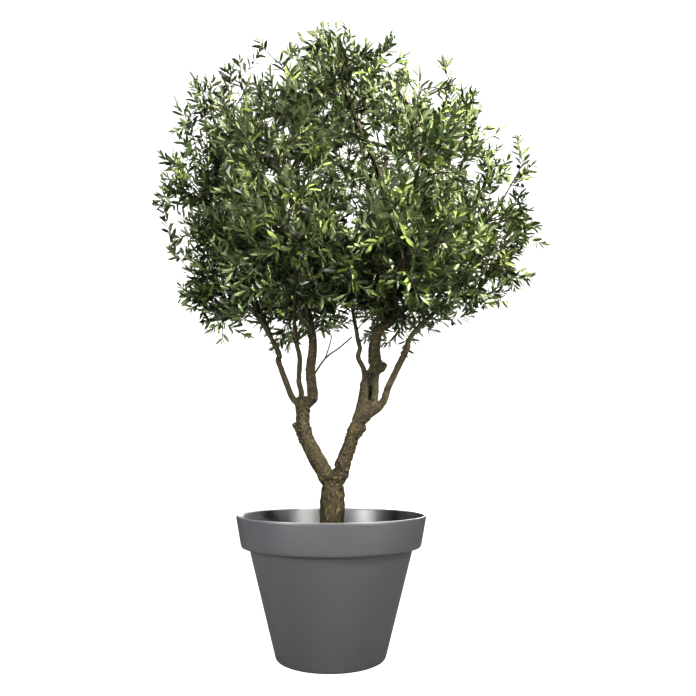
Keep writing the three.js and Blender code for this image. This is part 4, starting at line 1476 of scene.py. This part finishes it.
class OLIVE_OT_planter(bpy.types.Operator):
    """Turn the banded planter, with rounded edges and a hollow behind the band"""

    bl_idname = "olive.planter"
    bl_label = "Planter"

    def execute(self, context):
        s = context.scene.olive_planter
        rim, wall, height = s.rim_radius / MM, s.wall / MM, s.height / MM
        foot, shoulder, band_foot = s.foot_radius / MM, s.shoulder_radius / MM, s.band_foot_radius / MM
        band = height - s.band_height / MM
        inner_band = band + wall
        slope = (shoulder - foot) / band
        outer = [
            (0, 3, 0), (foot - 30, 3, 2), (foot - 26, 0, 3), (foot, 0, 9), (shoulder, band, 1.5),
            (band_foot - 1.5, band, 2.5), (band_foot + 1.0, band + 8, 3), (rim, height - 5, 3),
            (rim - 1.5, height, 2.4),
        ]
        inner = [
            (rim - wall, height, 1.2), (rim - wall - 1.5, height - 5, 2),
            (band_foot - wall, inner_band + 1, 3), (shoulder - wall, inner_band, 3),
            (foot - wall + slope * 8, 8, 4), (0, 8, 0),
        ]
        outer_profile, inner_profile = rounded(outer), rounded(inner)
        sides, lip_depth = 168, 3.2
        points, faces = turned(np.vstack([outer_profile, inner_profile]), sides)
        ring_of_face = np.arange(len(faces)) // sides
        looks = (ring_of_face >= len(outer_profile) - 1).astype(int)
        # Faces on top of the lip take the third, lighter copy of the plastic: a painted highlight along the
        # rim.
        looks[points[faces].mean(axis=1)[:, 2] > height - lip_depth] = 2
        materials = [
            moulded_plastic("planter_satin", s.color, s.roughness),
            # Painted shade: the inner wall is a darker copy of the plastic; it is also glossier.
            moulded_plastic("planter_inner", scaled(s.color, 0.85), s.roughness - 0.13),
            moulded_plastic("planter_lip", scaled(s.color, 1.15), s.roughness),
        ]
        piece = mesh_object("planter_shell", points, faces, materials, looks)
        set_smooth_by_angle(piece)
        settle(piece, ["planter"])
        return {"FINISHED"}


class OLIVE_OT_soil(bpy.types.Operator):
    """Fill the planter with crumbly potting soil, uneven on top and strewn with clods"""

    bl_idname = "olive.soil"
    bl_label = "Soil"

    def execute(self, context):
        s = context.scene.olive_soil
        low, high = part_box("soil")
        radius = (high.x - low.x) / 2 / MM - 0.5
        rings, sides = 44, 132
        shares = np.linspace(0.02, 1, rings)
        profile = [(radius * share, SOIL_TOP - 2) for share in shares]
        underside = SOIL_TOP - CRUST
        profile += [(radius, SOIL_TOP - 14), (radius - 4, underside), (0.5, underside)]
        points, faces = turned(profile, sides)
        bumps = s.lump / MM
        for point in points[: rings * sides]:
            place = Vector(point)
            lump = noise.fractal(place / 60, 1.0, 2.0, 4) + 0.5 * noise.noise(place / 9)
            heap = HEAP * math.exp(-((math.hypot(point[0], point[1]) / HEAP_REACH) ** 2))
            point[2] += lump * bumps * 0.6 + heap - 1
        soil = potting_soil("potting_soil", s.color)
        surface = mesh_object("soil_surface", points, faces[:, ::-1], [soil])
        settle(surface, ["soil"])
        clods = self.clods(s, radius)
        settle(clods)
        clods.data.materials.append(soil)
        return {"FINISHED"}

    def clods(self, s, radius):
        """Loose crumbs of soil and bark."""
        rng = random.Random(CLOD_SEED)
        parts = []
        base_points, base_faces = crumb()
        for _ in range(s.clods):
            out = radius * math.sqrt(rng.uniform(0.045, 0.96))
            turn = rng.uniform(0, 2 * math.pi)
            size = rng.choice((2.2, 3, 3, 4.5, 6)) * rng.uniform(0.7, 1.3)
            spin = rng.uniform(0, 2 * math.pi)
            shape = np.array((rng.uniform(0.8, 1.6), rng.uniform(0.7, 1.1), rng.uniform(0.45, 0.8))) * size
            jagged = np.array([1 + rng.uniform(-0.22, 0.22) for _ in base_points])[:, None]
            points = base_points * jagged * shape
            flat = np.array(((math.cos(spin), -math.sin(spin)), (math.sin(spin), math.cos(spin))))
            points[:, :2] = points[:, :2] @ flat.T
            place = np.array((out * math.cos(turn), out * math.sin(turn), SOIL_TOP + size * 0.1))
            parts.append((points + place, base_faces))
        points, faces = joined(parts)
        return mesh_object("soil_clods", points, faces, smooth=False)


def crumb():
    """A rough ball of twenty faces."""
    g = (1 + math.sqrt(5)) / 2
    points = [(0, a, b * g) for a in (-1, 1) for b in (-1, 1)]
    points += [(a, b * g, 0) for a in (-1, 1) for b in (-1, 1)]
    points += [(b * g, 0, a) for a in (-1, 1) for b in (-1, 1)]
    points = unit(np.array(points, float))
    longest_edge = 1.06
    faces = []
    for i in range(12):
        for j in range(i + 1, 12):
            for k in range(j + 1, 12):
                corner = points[[i, j, k]]
                sides = np.linalg.norm(corner - np.roll(corner, 1, axis=0), axis=1)
                if sides.max() < longest_edge:
                    normal = np.cross(corner[1] - corner[0], corner[2] - corner[0])
                    faces.append((i, j, k) if normal @ corner[0] > 0 else (i, k, j))
    return points, np.array(faces)


class OLIVE_OT_bark(bpy.types.Operator):
    """Grow the trunk, boughs and limbs as one gnarled skin of bark"""

    bl_idname = "olive.bark"
    bl_label = "Bark"

    def execute(self, context):
        s = context.scene.olive_bark
        material = olive_bark("olive_bark", s.dark, s.middle, s.pale)
        for piece, nodes in make_bark(s):
            piece.data.materials.append(material)
            settle(piece, nodes)
        return {"FINISHED"}


class OLIVE_OT_twigs(bpy.types.Operator):
    """Grow the stems, twigs and green shoots of the crown"""

    bl_idname = "olive.twigs"
    bl_label = "Twigs"

    def execute(self, context):
        s = context.scene.olive_foliage
        tubes = crown_of(s).tubes
        brown = young_wood("twig_bark", s.twig, change=1.3)
        green = young_wood("green_shoot", s.shoot, change=0.7)
        woody = joined([
            tube_mesh(tubes["stem"], rings=10, sides=8),
            tube_mesh(tubes["twig"], rings=9, sides=6),
            tube_mesh(tubes["side"], rings=6, sides=5),
        ])
        settle(mesh_object("twigs_woody", *woody, [brown]))
        leafy = tube_mesh(tubes["shoot"], rings=5, sides=4)
        settle(mesh_object("twigs_leafy", *leafy, [green]))
        return {"FINISHED"}


class OLIVE_OT_leaves(bpy.types.Operator):
    """Grow the narrow leaves in opposite pairs, dealt out by spray in five greens"""

    bl_idname = "olive.leaves"
    bl_label = "Leaves"

    def execute(self, context):
        s = context.scene.olive_foliage
        crown = crown_of(s)
        back = leaf_surface("leaf_underside", s.underside, roughness=0.62, spread=0.12)
        masses = [name for name in NODES if name.startswith("foliage_")]
        for tone, name in enumerate(TONES):
            top = leaf_surface("leaf_" + name, getattr(s, name), roughness=0.34, spread=0.2)
            for half, low, high in (("low", -math.inf, LEAF_SPLIT), ("high", LEAF_SPLIT, math.inf)):
                leaves = [leaf for leaf in crown.leaves if leaf[6] == tone and low <= leaf[0][2] < high]
                points, faces = leaf_mesh(leaves, s.leaf_width)
                sides = np.tile(np.repeat((0, 1), len(LEAF_FACES)), len(leaves))
                piece = mesh_object(f"leaves_{name}_{half}", points, faces, [top, back], sides)
                nodes = [mass for mass in masses if low <= sum(c.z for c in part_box(mass)) / 2 / MM < high]
                settle(piece, nodes if tone == 0 else ())
        return {"FINISHED"}


class OLIVE_OT_fruit(bpy.types.Operator):
    """Hang dark ripe olives and a few that are still turning"""

    bl_idname = "olive.fruit"
    bl_label = "Olives"

    def execute(self, context):
        s = context.scene.olive_foliage
        crown = crown_of(s)
        for name, color, bloom, low, high in (
            ("ripe", s.ripe, (0.08, 0.076, 0.09), 0, RIPE_SHARE),
            ("turning", s.turning, (0.1, 0.045, 0.05), RIPE_SHARE, 1),
        ):
            skin = olive_skin("olive_" + name, color, bloom)
            olives = [olive for olive in crown.olives if low <= olive[3] < high]
            settle(mesh_object("olives_" + name, *olive_mesh(olives), [skin]))
        stalk = young_wood("olive_stalk", s.shoot, change=0.7)
        tubes = tube_mesh(crown.tubes["stalk"], rings=3, sides=4)
        settle(mesh_object("olive_stalks", *tubes, [stalk]))
        return {"FINISHED"}


class OLIVE_OT_studio(bpy.types.Operator):
    """Set up the pale floor, the soft lights and the camera"""

    bl_idname = "olive.studio"
    bl_label = "Studio"

    def execute(self, context):
        s = context.scene.olive_studio
        self.floor(s)
        self.sky(context, s)
        self.lights(context)
        self.camera(context, s)
        context.scene.view_settings.view_transform = "Standard"
        context.scene.view_settings.look = "High Contrast"
        return {"FINISHED"}

    def floor(self, s):
        """A wide round floor."""
        points, faces = turned([(out, 0) for out in (0, 1500, 6000, 16000)], 64)
        pale = studio_floor("floor_pale", s.floor_color, s.floor_glow)
        floor = mesh_object("floor", points, faces[:, ::-1], [pale])
        floor.location.z = -0.0005

    def sky(self, context, s):
        """Even light from all sides, with a white backdrop to be seen."""
        world = bpy.data.worlds.new("studio_sky")
        world.use_nodes = True
        tree = world.node_tree
        light = tree.nodes["Background"]
        light.inputs["Strength"].default_value = s.sky
        backdrop = tree.nodes.new("ShaderNodeBackground")
        for background in (light, backdrop):
            background.inputs["Color"].default_value = (1.0, 1.0, 1.0, 1.0)
        blend = tree.nodes.new("ShaderNodeMixShader")
        rays = tree.nodes.new("ShaderNodeLightPath")
        for i, node in enumerate((rays, light, backdrop)):
            tree.links.new(node.outputs[0], blend.inputs[i])
        tree.links.new(blend.outputs[0], tree.nodes["World Output"].inputs["Surface"])
        context.scene.world = world

    def lights(self, context):
        """A key light on the crown from the upper right, and softer lights all round."""
        white = (1.0, 1.0, 1.0)
        plan = (
            ("key", (2.6, -2.8, 3.7), (0.2, 0.0, 1.62), (0.9, 0.9), 28, 29.5, (1.0, 0.96, 0.88)),
            ("fill", (-2.6, -2.3, 1.2), (0.0, 0.0, 0.3), (1.0, 1.0), 60, 11, (0.95, 0.97, 1.0)),
            ("side_fill", (2.7, -1.8, 0.6), (0.0, 0.0, 0.2), (1.0, 1.0), 50, 4, white),
            ("front", (0.0, -3.4, 0.3), (0.0, 0.0, 0.2), (1.3, 0.6), 44, 1.3, white),
            ("crown_fill", (-2.0, -2.8, 0.9), (-0.2, 0.0, 1.25), (1.0, 1.0), 38, 2.6, (0.96, 0.98, 1.0)),
            ("strip_left", (-1.7, -1.9, 1.2), (0.0, 0.1, 0.4), (0.25, 1.6), 180, 24, white),
            ("strip_right", (1.7, -1.9, 1.2), (0.0, 0.1, 0.4), (0.25, 1.6), 180, 36, white),
            ("rim", (1.1, 2.9, 3.2), (0.0, 0.0, 1.5), (1.4, 1.0), 180, 24, (1.0, 0.98, 0.94)),
            ("back", (0.5, 3.3, 1.5), (0.0, 0.0, 1.0), (1.8, 1.8), 100, 45, white),
        )
        for name, place, target, size, spread, power, color in plan:
            light = bpy.data.lights.new(name, "AREA")
            light.shape = "RECTANGLE"
            light.size, light.size_y = size
            light.spread = math.radians(spread)
            light.energy = power
            light.color = color
            lamp = bpy.data.objects.new(name, light)
            lamp.location = place
            lamp.rotation_euler = (Vector(target) - Vector(place)).to_track_quat("-Z", "Y").to_euler()
            lamp.visible_camera = False
            context.scene.collection.objects.link(lamp)

    def camera(self, context, s):
        """A camera at the front, a little above the planter, that looks up at the tree."""
        data = bpy.data.cameras.new("camera")
        data.lens = s.camera_lens
        data.sensor_width = 36.0
        camera = bpy.data.objects.new("camera", data)
        camera.location = s.camera_place
        camera.rotation_euler = (math.pi / 2 + s.camera_pitch, 0.0, 0.0)
        context.scene.collection.objects.link(camera)
        context.scene.camera = camera


OPERATORS = (
    OLIVE_OT_planter,
    OLIVE_OT_soil,
    OLIVE_OT_bark,
    OLIVE_OT_twigs,
    OLIVE_OT_leaves,
    OLIVE_OT_fruit,
    OLIVE_OT_studio,
)


class OLIVE_PT_panel(bpy.types.Panel):
    """Lists the steps that grow the tree and the sizes and colours that they use"""

    bl_idname = "OLIVE_PT_panel"
    bl_label = "Potted Olive Tree"
    bl_space_type = "VIEW_3D"
    bl_region_type = "UI"
    bl_category = "Olive"

    def draw(self, context):
        for operator in OPERATORS:
            self.layout.operator(operator.bl_idname)
        for group, kind in GROUPS.items():
            box = self.layout.box()
            for key in kind.__annotations__:
                box.prop(getattr(context.scene, group), key)


CLASSES = (*GROUPS.values(), *OPERATORS, OLIVE_PT_panel)


def register():
    for kind in CLASSES:
        bpy.utils.register_class(kind)
    for name, kind in GROUPS.items():
        setattr(bpy.types.Scene, name, bpy.props.PointerProperty(type=kind))


def unregister():
    for name in GROUPS:
        delattr(bpy.types.Scene, name)
    for kind in reversed(CLASSES):
        bpy.utils.unregister_class(kind)


def main():
    register()
    bpy.ops.olive.planter()
    bpy.ops.olive.soil()
    bpy.ops.olive.bark()
    bpy.ops.olive.twigs()
    bpy.ops.olive.leaves()
    bpy.ops.olive.fruit()
    bpy.ops.olive.studio()


if __name__ == "__main__":
    main()
